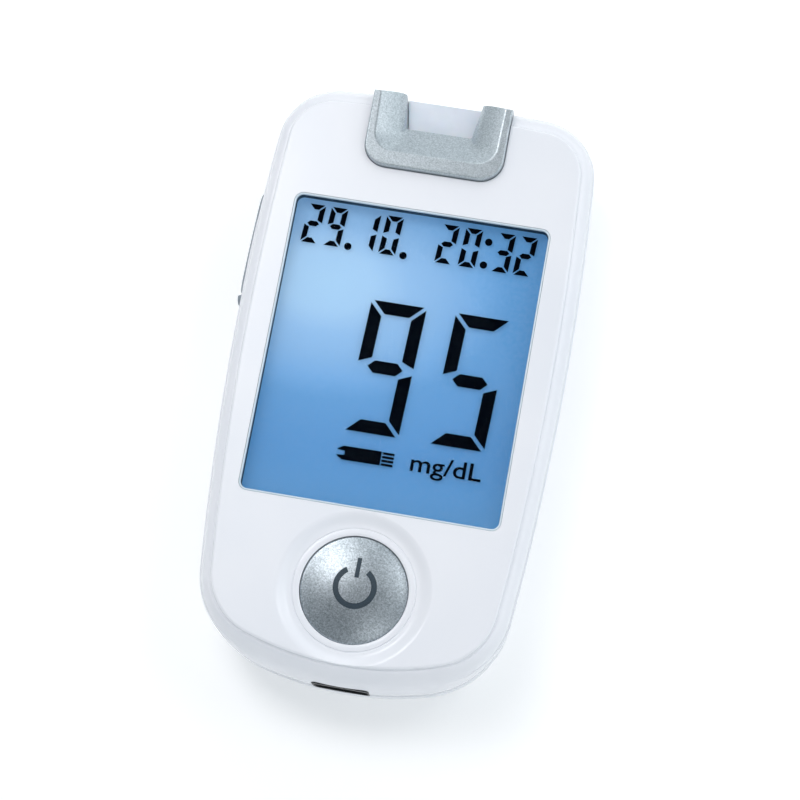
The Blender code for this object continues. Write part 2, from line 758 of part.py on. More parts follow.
def add_button_surround(cover):
    """The dish that a fingertip slides into, the button's hole and the collar below it."""
    hole_radius = BUTTON_RADIUS + CLEARANCE
    collar = cylinder(
        "button_collar",
        hole_radius + COLLAR_WALL,
        (0, BUTTON_Y, COLLAR_BOTTOM),
        (0, BUTTON_Y, FACE_UNDERSIDE + EMBED),
        steps=BUTTON_STEPS,
    )
    profile = [(0, OVERRUN), (DISH_RADIUS, OVERRUN), (DISH_RADIUS, 0)]
    for share in (0.25, 0.5, 0.75, 1.0):
        drop = (1 - math.cos(math.pi * share)) / 2
        radius = DISH_RADIUS + (hole_radius - DISH_RADIUS) * share
        profile.append((radius, -DISH_DEPTH * drop))
    profile.append((0, -DISH_DEPTH))
    dish = turned("button_dish", profile, (0, BUTTON_Y, CASE_HEIGHT), steps=BUTTON_STEPS)
    hole = cylinder(
        "button_hole",
        hole_radius,
        (0, BUTTON_Y, COLLAR_BOTTOM - OVERRUN),
        (0, BUTTON_Y, CASE_HEIGHT + OVERRUN),
        steps=BUTTON_STEPS,
    )
    join(cover, collar)
    cut(cover, dish, hole)


def rocker_pin_x():
    """The rocker pin's place across the meter, on its left side."""
    return ROCKER_PIN_INSET - CASE_WIDTH / 2


def rocker_top():
    """The rocker's upper edge, just under the board's lower face."""
    return UNDER_BOARD


def rocker_opening():
    """Cutter for the rocker's opening, half in each cover."""
    half = ROCKER_LENGTH / 2 + CLEARANCE
    return box(
        "rocker_opening",
        (-CASE_WIDTH / 2 - OVERRUN, ROCKER_Y - half, rocker_top() - ROCKER_HEIGHT - CLEARANCE),
        (WALL + OVERRUN - CASE_WIDTH / 2, ROCKER_Y + half, rocker_top() + CLEARANCE),
    )


def pin_ear(name, low, high):
    """A lug on the inside of a side wall, which holds one end of the rocker pin."""
    return box(
        name,
        (WALL / 2 + LIP_STEP - CASE_WIDTH / 2, ROCKER_Y - ROCKER_HUB_RADIUS, low),
        (rocker_pin_x() + ROCKER_HUB_RADIUS, ROCKER_Y + ROCKER_HUB_RADIUS, high),
    )


def port_opening():
    """Cutter for the data port's mouth, half in each cover."""
    half = PORT_WIDTH / 2 + PORT_MOUTH_ROOM
    return box(
        "port_opening",
        (-half, -CASE_LENGTH / 2 - OVERRUN, UNDER_BOARD - PORT_HEIGHT - PORT_MOUTH_ROOM),
        (half, WALL + OVERRUN - CASE_LENGTH / 2, UNDER_BOARD + PORT_MOUTH_ROOM),
    )


def bezel_outline(room):
    """The strip-port bezel seen from above, run past the end of the case."""
    return rounded_rectangle(
        BEZEL_HALF_WIDTH + room,
        BEZEL_START_Y - room,
        CASE_LENGTH / 2 + BEZEL_CORNER + OVERRUN,
        BEZEL_CORNER + room,
    )


ROCKER_OPENING = rocker_opening()
PORT_OPENING = port_opening()


def make_front_cover():
    """The white front cover, with its openings for window, button, bezel, rocker and port."""
    cover = front_shell()
    window = slab(
        "window_opening",
        rounded_rectangle(WINDOW_HALF_WIDTH, WINDOW_LOW_Y, WINDOW_HIGH_Y, WINDOW_CORNER),
        FACE_UNDERSIDE - OVERRUN,
        CASE_HEIGHT + OVERRUN,
    )
    notch = slab(
        "bezel_notch", bezel_outline(CLEARANCE), BEZEL_BOTTOM - CLEARANCE, BEZEL_TOP + OVERRUN
    )
    ear_bottom = rocker_top() + 2 * CLEARANCE
    ear = pin_ear("front_pin_ear", ear_bottom, ear_bottom + PIN_EAR_THICKNESS)
    pin_hole = cylinder(
        "front_pin_hole",
        ROCKER_PIN_RADIUS + CLEARANCE,
        (rocker_pin_x(), ROCKER_Y, ear_bottom - OVERRUN),
        (rocker_pin_x(), ROCKER_Y, ear_bottom + PIN_SEAT_DEPTH),
    )
    add_front_bosses(cover)
    add_button_surround(cover)
    join(cover, ear)
    cut(cover, pin_hole, window, notch, ROCKER_OPENING, PORT_OPENING)
    return cover


# Rear cover

def rear_shell():
    """The bare rear cover: a shallow dish with rolled edges and a rebate inside its rim."""
    rings = []
    rebate_floor = REAR_RIM - TONGUE_LENGTH
    for share in INNER_ROLL_SHARES:
        angle = QUARTER_TURN * share
        rise = (BACK_ROLL_HEIGHT - BACK_THICKNESS) * (1 - math.cos(angle))
        inset = WALL + BACK_INSET * (1 - math.sin(angle))
        rings.append((even_outline(inset), BACK_THICKNESS + rise))
    rings.append((even_outline(WALL), rebate_floor))
    rings.append((even_outline(REBATE_WALL), rebate_floor))
    rings.append((even_outline(REBATE_WALL), REAR_RIM))
    rings.append((even_outline(RIM_ROUND), REAR_RIM))
    rings.append((even_outline(0), REAR_RIM - RIM_ROUND))
    for share in reversed(BACK_ROLL_SHARES):
        angle = QUARTER_TURN * share
        rise = BACK_ROLL_HEIGHT * (1 - math.cos(angle))
        rings.append((even_outline(BACK_INSET * (1 - math.sin(angle))), rise))
    return loft("rear_cover", rings, WHITE_GLOSS)


def make_rear_cover():
    """The white rear cover, with the battery compartment, hinge block and screw bosses."""
    cover = rear_shell()
    frame_half = DOOR_OPENING_HALF_WIDTH + DOOR_FRAME_WALL
    frame_end = DOOR_END_Y - CLEARANCE - DOOR_FRAME_WALL
    door_frame = box(
        "door_frame",
        (-frame_half, frame_end, BACK_THICKNESS / 2),
        (frame_half, BAY_STRIP_END_Y + BAY_WALL, DOOR_FRAME_HEIGHT),
    )
    bay_outside = box(
        "bay_outside",
        (-BAY_HALF_WIDTH - BAY_WALL, BAY_PORT_END_Y - BAY_WALL, BACK_THICKNESS / 2),
        (BAY_HALF_WIDTH + BAY_WALL, BAY_STRIP_END_Y + BAY_WALL, BAY_TOP),
    )
    hinge_room = KNUCKLE_RADIUS + CLEARANCE
    block_half = DOOR_HALF_WIDTH + TRUNNION_LENGTH + CLEARANCE + HINGE_BLOCK_WALL
    hinge_block = box(
        "hinge_block",
        (-block_half, BAY_STRIP_END_Y + EMBED, BACK_THICKNESS / 2),
        (block_half, HINGE_Y + hinge_room + HINGE_BLOCK_WALL, HINGE_BLOCK_HEIGHT),
    )
    join(cover, door_frame, bay_outside, hinge_block)
    for name, (x, y) in screw_places().items():
        boss = cylinder(
            "rear_boss_" + name,
            REAR_BOSS_RADIUS,
            (x, y, BACK_THICKNESS / 2),
            (x, y, REAR_RIM),
        )
        join(cover, boss)
    for name, (x, y) in screw_places().items():
        counterbore = cylinder(
            "counterbore_" + name,
            SCREW_HEAD_RADIUS + CLEARANCE,
            (x, y, -OVERRUN),
            (x, y, SCREW_SEAT_HEIGHT),
        )
        hole = cylinder(
            "rear_boss_hole_" + name,
            SCREW_RADIUS + CLEARANCE,
            (x, y, -OVERRUN),
            (x, y, REAR_RIM + OVERRUN),
        )
        cut(cover, counterbore, hole)
    bay_inside = box(
        "bay_inside",
        (-BAY_HALF_WIDTH, BAY_PORT_END_Y, -OVERRUN),
        (BAY_HALF_WIDTH, BAY_STRIP_END_Y, BAY_CEILING),
    )
    door_recess = box(
        "door_recess",
        (-DOOR_OPENING_HALF_WIDTH, DOOR_END_Y - CLEARANCE, -OVERRUN),
        (DOOR_OPENING_HALF_WIDTH, HINGE_Y, DOOR_THICKNESS + CLEARANCE),
    )
    knuckle_recess = box(
        "knuckle_recess",
        (-DOOR_OPENING_HALF_WIDTH, HINGE_Y - hinge_room, -OVERRUN),
        (DOOR_OPENING_HALF_WIDTH, HINGE_Y + hinge_room, HINGE_HEIGHT + hinge_room),
    )
    trunnion_reach = DOOR_HALF_WIDTH + TRUNNION_LENGTH + CLEARANCE
    trunnion_hole = cylinder(
        "trunnion_hole",
        TRUNNION_RADIUS + CLEARANCE,
        (-trunnion_reach, HINGE_Y, HINGE_HEIGHT),
        (trunnion_reach, HINGE_Y, HINGE_HEIGHT),
    )
    hook_pocket = box(
        "hook_pocket",
        (-LATCH_HALF_WIDTH, DOOR_END_Y - CLEARANCE, 0),
        (
            LATCH_HALF_WIDTH,
            DOOR_END_Y + HOOK_DEPTH + CLEARANCE,
            DOOR_THICKNESS + HOOK_RISE + CLEARANCE,
        ),
    )
    thumb_scoop = cylinder(
        "thumb_scoop",
        THUMB_RADIUS,
        (0, DOOR_END_Y, -OVERRUN),
        (0, DOOR_END_Y, THUMB_DEPTH),
        steps=ROUND_STEPS,
    )
    ear_top = rocker_top() - ROCKER_HEIGHT - 2 * CLEARANCE
    ear = pin_ear("rear_pin_ear", ear_top - PIN_EAR_THICKNESS, ear_top)
    pin_hole = cylinder(
        "rear_pin_hole",
        ROCKER_PIN_RADIUS + CLEARANCE,
        (rocker_pin_x(), ROCKER_Y, ear_top - PIN_SEAT_DEPTH),
        (rocker_pin_x(), ROCKER_Y, ear_top + OVERRUN),
    )
    cut(cover, bay_inside, door_recess, knuckle_recess, trunnion_hole, hook_pocket, thumb_scoop)
    join(cover, ear)
    cut(cover, pin_hole, ROCKER_OPENING, PORT_OPENING)
    return cover


def make_battery_door():
    """The door, with a round knuckle, two trunnions and a latch tab between two slits."""
    door = box(
        "battery_door",
        (-DOOR_HALF_WIDTH, DOOR_END_Y, 0),
        (DOOR_HALF_WIDTH, HINGE_Y + KNUCKLE_OVERLAP, DOOR_THICKNESS),
        WHITE_SATIN,
    )
    knuckle = cylinder(
        "door_knuckle",
        KNUCKLE_RADIUS,
        (-DOOR_HALF_WIDTH, HINGE_Y, HINGE_HEIGHT),
        (DOOR_HALF_WIDTH, HINGE_Y, HINGE_HEIGHT),
    )
    reach = DOOR_HALF_WIDTH + TRUNNION_LENGTH
    trunnions = cylinder(
        "door_trunnions",
        TRUNNION_RADIUS,
        (-reach, HINGE_Y, HINGE_HEIGHT),
        (reach, HINGE_Y, HINGE_HEIGHT),
        steps=ROUND_STEPS,
    )
    tab_half = LATCH_HALF_WIDTH - CLEARANCE
    hook = box(
        "door_hook",
        (-tab_half, DOOR_END_Y + CLEARANCE, DOOR_THICKNESS / 2),
        (tab_half, DOOR_END_Y + HOOK_DEPTH, DOOR_THICKNESS + HOOK_RISE),
    )
    join(door, knuckle, trunnions, hook)
    for side in (-1, 1):
        inner = side * LATCH_HALF_WIDTH
        outer = side * (LATCH_HALF_WIDTH + LATCH_SLIT)
        slit = box(
            "latch_slit_left" if side < 0 else "latch_slit_right",
            (min(inner, outer), DOOR_END_Y - OVERRUN, -OVERRUN),
            (max(inner, outer), DOOR_END_Y + LATCH_LENGTH, DOOR_THICKNESS + OVERRUN),
        )
        cut(door, slit)
    put_on_pivot(door, "battery_door_hinge", (0, HINGE_Y, HINGE_HEIGHT))
    return door


# Battery cells, springs and contacts

def make_cell(name, x, nub_end):
    """One cell along Y, with its nub at the strip end (1) or at the port end (-1)."""
    radius = CELL_DIAMETER / 2
    profile = [
        (0, CELL_LENGTH / 2),
        (CELL_NUB_DIAMETER / 2, CELL_LENGTH / 2),
        (CELL_NUB_DIAMETER / 2, CELL_LENGTH / 2 - CELL_NUB_LENGTH),
        (radius - CELL_SHOULDER, CELL_LENGTH / 2 - CELL_NUB_LENGTH),
        (radius, CELL_LENGTH / 2 - CELL_NUB_LENGTH - CELL_SHOULDER),
        (radius, -CELL_LENGTH / 2),
        (0, -CELL_LENGTH / 2),
    ]
    if nub_end > 0:
        middle = BAY_PORT_END_Y + CELL_SEAT + CELL_LENGTH / 2
    else:
        middle = BAY_STRIP_END_Y - CELL_SEAT - CELL_LENGTH / 2
    cell = turned(name, profile, (x, middle, CELL_AXIS_HEIGHT), CELL_WRAP)
    cell.rotation_euler = (-nub_end * QUARTER_TURN, 0, 0)
    return cell


def make_spring(name, x, y, outwards):
    """A cone-shaped coil along Y, wide at its contact plate and narrow at the cell."""
    curve = bpy.data.curves.new(name, "CURVE")
    curve.dimensions = "3D"
    curve.bevel_depth = SPRING_WIRE / 2
    curve.bevel_resolution = 1
    curve.use_fill_caps = True
    count = SPRING_TURNS * SPRING_TURN_STEPS
    spline = curve.splines.new("POLY")
    spline.points.add(count)
    length = SPRING_LENGTH - SPRING_WIRE
    for i, point in enumerate(spline.points):
        share = i / count
        angle = FULL_TURN * SPRING_TURNS * share
        radius = SPRING_WIDE_RADIUS + (SPRING_NARROW_RADIUS - SPRING_WIDE_RADIUS) * share
        along = outwards * (SPRING_WIRE / 2 + length * share)
        point.co = (radius * math.cos(angle), along, radius * math.sin(angle), 1)
    coil = bpy.data.objects.new(name, curve)
    coil.location = (x, y, CELL_AXIS_HEIGHT)
    bpy.context.view_layer.update()
    return smooth(solid_of_curve(coil, name, NICKEL))


def contact_plate(name, x, half_width, y_low):
    """A flat sprung-steel contact standing at one end of the compartment."""
    half_height = CONTACT_HEIGHT / 2
    return box(
        name,
        (x - half_width, y_low, CELL_AXIS_HEIGHT - half_height),
        (x + half_width, y_low + CONTACT_THICKNESS, CELL_AXIS_HEIGHT + half_height),
        NICKEL,
    )


def make_battery_pieces():
    """Two cells in opposite directions, joined by a bridge at the strip end."""
    left = -CELL_PITCH / 2
    right = CELL_PITCH / 2
    port_plate = BAY_PORT_END_Y + CLEARANCE
    strip_plate = BAY_STRIP_END_Y - CLEARANCE - CONTACT_THICKNESS
    make_cell("battery_cell_left", left, 1)
    make_cell("battery_cell_right", right, -1)
    contact_plate("battery_contact_negative", left, CONTACT_WIDTH / 2, port_plate)
    contact_plate("battery_contact_positive", right, CONTACT_WIDTH / 2, port_plate)
    contact_plate("battery_contact_bridge", 0, right + CONTACT_WIDTH / 2, strip_plate)
    make_spring("battery_spring_left", left, port_plate + CONTACT_THICKNESS + CLEARANCE, 1)
    make_spring("battery_spring_right", right, strip_plate - CLEARANCE, -1)


# Display

def make_display():
    """Pane, liquid-crystal panel, light guide with two lamps, holder and contact strip."""
    slab(
        "display_window",
        rounded_rectangle(
            WINDOW_HALF_WIDTH + PANE_MARGIN,
            WINDOW_LOW_Y - PANE_MARGIN,
            WINDOW_HIGH_Y + PANE_MARGIN,
            WINDOW_CORNER + PANE_MARGIN,
        ),
        PANE_BOTTOM,
        PANE_TOP,
        CLEAR_PANE,
    )
    box(
        "lcd_panel",
        (-PANEL_HALF_WIDTH, PANEL_LOW_Y, PANEL_BOTTOM),
        (PANEL_HALF_WIDTH, PANEL_HIGH_Y, PANEL_TOP),
        BLUE_PANEL,
    )
    lamp_end = PANEL_LOW_Y + LED_DEPTH
    guide_end = WINDOW_HIGH_Y + PANEL_MARGIN
    box(
        "backlight_guide",
        (-PANEL_HALF_WIDTH, lamp_end + CLEARANCE, ON_BOARD),
        (PANEL_HALF_WIDTH, guide_end, GUIDE_TOP),
        MILK_ACRYLIC,
    )
    for name, x in (("left", -LED_OFFSET_X), ("right", LED_OFFSET_X)):
        box(
            "backlight_led_" + name,
            (x - LED_WIDTH / 2, PANEL_LOW_Y, ON_BOARD),
            (x + LED_WIDTH / 2, lamp_end, ON_BOARD + LED_HEIGHT),
            MILK_ACRYLIC,
        )
    strip_start = guide_end + CLEARANCE
    box(
        "lcd_connector_strip",
        (-WINDOW_HALF_WIDTH, strip_start, ON_BOARD),
        (WINDOW_HALF_WIDTH, strip_start + CONNECTOR_STRIP_DEPTH, GUIDE_TOP),
        CARBON_RUBBER,
    )
    holder = box(
        "lcd_holder",
        (-PANEL_HALF_WIDTH - CLEARANCE - HOLDER_WALL, HOLDER_LOW_Y, ON_BOARD),
        (PANEL_HALF_WIDTH + CLEARANCE + HOLDER_WALL, HOLDER_HIGH_Y, PANEL_TOP),
        WHITE_SATIN,
    )
    inside = box(
        "lcd_holder_inside",
        (-PANEL_HALF_WIDTH - CLEARANCE, PANEL_LOW_Y - CLEARANCE, ON_BOARD - OVERRUN),
        (PANEL_HALF_WIDTH + CLEARANCE, PANEL_HIGH_Y + CLEARANCE, PANEL_TOP + OVERRUN),
    )
    cut(holder, inside)


# Circuit board and what is soldered to it

def make_board():
    """The board, which follows the case's outline and clears its posts and the rocker."""
    board = slab(
        "main_board", even_outline(BOARD_EDGE_ROOM), BOARD_BOTTOM, BOARD_TOP, GREEN_BOARD
    )
    post_radius = BOSS_RADIUS + BOARD_HOLE_ROOM
    for name, (x, y) in screw_places().items():
        hole = cylinder(
            "board_hole_" + name,
            post_radius,
            (x, y, BOARD_BOTTOM - OVERRUN),
            (x, y, BOARD_TOP + OVERRUN),
        )
        cut(board, hole)
    for name, (x, y) in board_screw_places().items():
        hole = cylinder(
            "board_screw_hole_" + name,
            BOARD_SCREW_RADIUS + CLEARANCE,
            (x, y, BOARD_BOTTOM - OVERRUN),
            (x, y, BOARD_TOP + OVERRUN),
        )
        cut(board, hole)
    ear_room = ROCKER_HUB_RADIUS + BOARD_HOLE_ROOM
    notch = box(
        "board_rocker_notch",
        (-CASE_WIDTH / 2, ROCKER_Y - ear_room, BOARD_BOTTOM - OVERRUN),
        (rocker_pin_x() + ear_room, ROCKER_Y + ear_room, BOARD_TOP + OVERRUN),
    )
    cut(board, notch)
    return board


def make_board_components():
    """Controller, memory, clock crystal and sounder, all on the board's lower face."""
    x = BESIDE_BAY
    half = CHIP_SIDE / 2
    box(
        "controller_chip",
        (x - half, CHIP_Y - half, UNDER_BOARD - CHIP_HEIGHT),
        (x + half, CHIP_Y + half, UNDER_BOARD),
        BLACK_PLASTIC,
    )
    half = MEMORY_LENGTH / 2
    box(
        "memory_chip",
        (x - MEMORY_WIDTH / 2, MEMORY_Y - half, UNDER_BOARD - MEMORY_HEIGHT),
        (x + MEMORY_WIDTH / 2, MEMORY_Y + half, UNDER_BOARD),
        BLACK_PLASTIC,
    )
    height = UNDER_BOARD - CRYSTAL_RADIUS
    cylinder(
        "clock_crystal",
        CRYSTAL_RADIUS,
        (x - CRYSTAL_LENGTH / 2, CRYSTAL_Y, height),
        (x + CRYSTAL_LENGTH / 2, CRYSTAL_Y, height),
        NICKEL,
    )
    cylinder(
        "sounder",
        SOUNDER_RADIUS,
        (-x, SOUNDER_Y, UNDER_BOARD - SOUNDER_HEIGHT),
        (-x, SOUNDER_Y, UNDER_BOARD),
        BLACK_PLASTIC,
    )


# Power button

def make_power_button():
    """The silver button cap and the switch that it works."""
    switch_top = ON_BOARD + SWITCH_HEIGHT
    plunger_top = switch_top + PLUNGER_SHOWING
    stem_bottom = plunger_top + CLEARANCE - CASE_HEIGHT
    rim = BUTTON_RIM_HEIGHT - CASE_HEIGHT
    flange_top = COLLAR_BOTTOM - CLEARANCE - CASE_HEIGHT
    flange_radius = BUTTON_RADIUS + BUTTON_FLANGE
    inner_radius = BUTTON_RADIUS - BUTTON_SKIRT_WALL
    ceiling = rim - BUTTON_SKIN
    profile = []
    for share in (0.0, 0.2, 0.4, 0.6, 0.8, 1.0):
        radius = share * (BUTTON_RADIUS - BUTTON_RIM_ROUND)
        profile.append((radius, rim + BUTTON_DOME * (1 - share**2)))
    profile.append((BUTTON_RADIUS, rim - BUTTON_RIM_ROUND))
    profile.append((BUTTON_RADIUS, flange_top))
    profile.append((flange_radius, flange_top))
    profile.append((flange_radius, flange_top - BUTTON_FLANGE_HEIGHT))
    profile.append((inner_radius, flange_top - BUTTON_FLANGE_HEIGHT))
    profile.append((inner_radius, ceiling))
    profile.append((BUTTON_STEM_RADIUS, ceiling))
    profile.append((BUTTON_STEM_RADIUS, stem_bottom))
    profile.append((0, stem_bottom))
    place = (0, BUTTON_Y, CASE_HEIGHT)
    turned("power_button", profile, place, SILVER_PAINT, BUTTON_STEPS)
    half = SWITCH_SIDE / 2
    switch = box(
        "power_switch",
        (-half, BUTTON_Y - half, ON_BOARD),
        (half, BUTTON_Y + half, switch_top),
        BLACK_PLASTIC,
    )
    plunger_bottom = plunger_top - PLUNGER_LENGTH
    well = cylinder(
        "power_switch_well",
        PLUNGER_RADIUS + CLEARANCE,
        (0, BUTTON_Y, plunger_bottom - BUTTON_TRAVEL - SWITCH_WELL_SPARE),
        (0, BUTTON_Y, switch_top + OVERRUN),
    )
    cut(switch, well)
    cylinder(
        "power_switch_plunger",
        PLUNGER_RADIUS,
        (0, BUTTON_Y, plunger_bottom),
        (0, BUTTON_Y, plunger_top),
        BLACK_PLASTIC,
    )


# Test-strip port

def make_bezel():
    """The silver horseshoe: a raised block, scooped out towards the end of the meter."""
    rings = [(bezel_outline(0), BEZEL_BOTTOM)]
    for share in (0.0, 0.5, 1.0):
        angle = QUARTER_TURN * share
        drop = BEZEL_EDGE_ROUND * (1 - math.sin(angle))
        rings.append(
            (bezel_outline(-BEZEL_EDGE_ROUND * (1 - math.cos(angle))), BEZEL_TOP - drop)
        )
    bezel = loft("strip_port_bezel", rings, SILVER_PAINT)
    foot = PARTING_HEIGHT + RIM_STRAIGHT
    envelope_rings = [band_ring(0, foot, BEZEL_TOP, BEZEL_END_INSET)]
    for share in BAND_HEIGHT_SHARES:
        envelope_rings.append(band_ring(share, foot, BEZEL_TOP, BEZEL_END_INSET))
    top_outline = envelope_rings[-1][0]
    envelope_rings.append((top_outline, BEZEL_TOP + OVERRUN))
    envelope = loft("bezel_end_envelope", envelope_rings)
    combine(bezel, envelope, "INTERSECT")

    channel = [
        (CHANNEL_HALF_WIDTH, BEZEL_BOTTOM - OVERRUN),
    ]
    shoulder = SCOOP_HALF_WIDTH - CHANNEL_HALF_WIDTH
    for i in range(SHOULDER_STEPS + 1):
        angle = QUARTER_TURN * i / SHOULDER_STEPS
        channel.append(
            (
                SCOOP_HALF_WIDTH - shoulder * math.cos(angle),
                CHANNEL_FLOOR + CHANNEL_DEPTH * math.sin(angle),
            )
        )
    channel.append((SCOOP_HALF_WIDTH, BEZEL_TOP + OVERRUN))
    mirrored = [(-x, z) for x, z in reversed(channel)]
    past_end = CASE_LENGTH / 2 + OVERRUN
    valley = prism("scoop_valley", channel + mirrored, "Y", SCOOP_START_Y - OVERRUN, past_end)
    above = BEZEL_TOP + OVERRUN
    below = BEZEL_BOTTOM - OVERRUN
    ramp_line = [
        (SCOOP_START_Y, above),
        (SCOOP_START_Y, BEZEL_TOP),
        (LIP_Y, LIP_TOP),
        (LIP_Y, below),
        (past_end + OVERRUN, below),
        (past_end + OVERRUN, above),
    ]
    ramp = prism("scoop_ramp", ramp_line, "X", -BEZEL_HALF_WIDTH, BEZEL_HALF_WIDTH)
    combine(valley, ramp, "INTERSECT")
    cavity = box(
        "connector_cavity",
        (-CONNECTOR_HALF_WIDTH - CLEARANCE, BEZEL_START_Y + CAVITY_WALL, below),
        (
            CONNECTOR_HALF_WIDTH + CLEARANCE,
            CONNECTOR_END_Y + CLEARANCE,
            ON_BOARD + CONNECTOR_HEIGHT + CLEARANCE,
        ),
    )
    slot = box(
        "strip_slot",
        (-SLOT_HALF_WIDTH, CONNECTOR_END_Y, below),
        (SLOT_HALF_WIDTH, LIP_Y + OVERRUN, LIP_UNDERSIDE),
    )
    cut(bezel, valley, cavity, slot)
    peg_y = BEZEL_START_Y + BEZEL_PEG_SETBACK
    for name, x in (("left", -BEZEL_PEG_X), ("right", BEZEL_PEG_X)):
        peg = cylinder(
            "bezel_peg_" + name,
            BEZEL_PEG_RADIUS,
            (x, peg_y, ON_BOARD),
            (x, peg_y, BEZEL_BOTTOM + EMBED),
        )
        join(bezel, peg)


def make_strip_guide():
    """The white plate that a strip slides along, on a base that stands on the board."""
    plate_bottom = CHANNEL_FLOOR - GUIDE_PLATE_THICKNESS
    base_top = BEZEL_BOTTOM - CLEARANCE
    guide = box(
        "strip_guide",
        (CLEARANCE - CHANNEL_HALF_WIDTH, LIP_Y + CLEARANCE, plate_bottom),
        (CHANNEL_HALF_WIDTH - CLEARANCE, GUIDE_PLATE_END_Y, CHANNEL_FLOOR),
        WHITE_GUIDE,
    )
    base = box(
        "guide_base",
        (-GUIDE_BASE_HALF_WIDTH, CONNECTOR_END_Y + 2 * CLEARANCE, ON_BOARD),
        (GUIDE_BASE_HALF_WIDTH, GUIDE_BASE_END_Y, base_top),
    )
    entry = box(
        "guide_entry",
        (CLEARANCE - SLOT_HALF_WIDTH, CONNECTOR_END_Y + 2 * CLEARANCE, base_top - EMBED),
        (SLOT_HALF_WIDTH - CLEARANCE, LIP_Y + EMBED, CHANNEL_FLOOR - GUIDE_ENTRY_STEP),
    )
    rise_start = LIP_Y + CLEARANCE + EMBED
    riser = box(
        "guide_riser",
        (2 * CLEARANCE - CHANNEL_HALF_WIDTH, rise_start, base_top - EMBED),
        (CHANNEL_HALF_WIDTH - 2 * CLEARANCE, GUIDE_BASE_END_Y - EMBED, plate_bottom + EMBED / 2),
    )
    join(guide, riser, base, entry)


def make_strip_connector():
    """The black connector on the board, and the spring contacts that meet the strip."""
    connector = box(
        "strip_connector",
        (-CONNECTOR_HALF_WIDTH, CONNECTOR_START_Y, ON_BOARD),
        (CONNECTOR_HALF_WIDTH, CONNECTOR_END_Y, ON_BOARD + CONNECTOR_HEIGHT),
        BLACK_PLASTIC,
    )
    slot_floor = ON_BOARD + CONNECTOR_SLOT_LIFT
    slot = box(
        "connector_slot",
        (-SLOT_HALF_WIDTH, CONNECTOR_START_Y - OVERRUN, slot_floor),
        (SLOT_HALF_WIDTH, CONNECTOR_END_Y + OVERRUN, slot_floor + CONNECTOR_SLOT_HEIGHT),
    )
    cut(connector, slot)
    blade_low = slot_floor + CLEARANCE
    blade_high = blade_low + STRIP_CONTACT_THICKNESS
    leg_far = CONNECTOR_START_Y - CLEARANCE
    leg_near = leg_far - STRIP_CONTACT_THICKNESS
    for i in range(STRIP_CONTACT_COUNT):
        x = (i - (STRIP_CONTACT_COUNT - 1) / 2) * STRIP_CONTACT_PITCH
        left = x - STRIP_CONTACT_WIDTH / 2
        right = x + STRIP_CONTACT_WIDTH / 2
        number = str(i + 1)
        contact = box(
            "strip_contact_" + number,
            (left, leg_near, blade_low),
            (right, CONNECTOR_START_Y + STRIP_CONTACT_REACH, blade_high),
            GOLD,
        )
        leg = box(
            "strip_contact_leg_" + number,
            (left, leg_near, ON_BOARD),
            (right, leg_far, blade_low + STRIP_CONTACT_THICKNESS / 2),
        )
        join(contact, leg)


# Side rocker

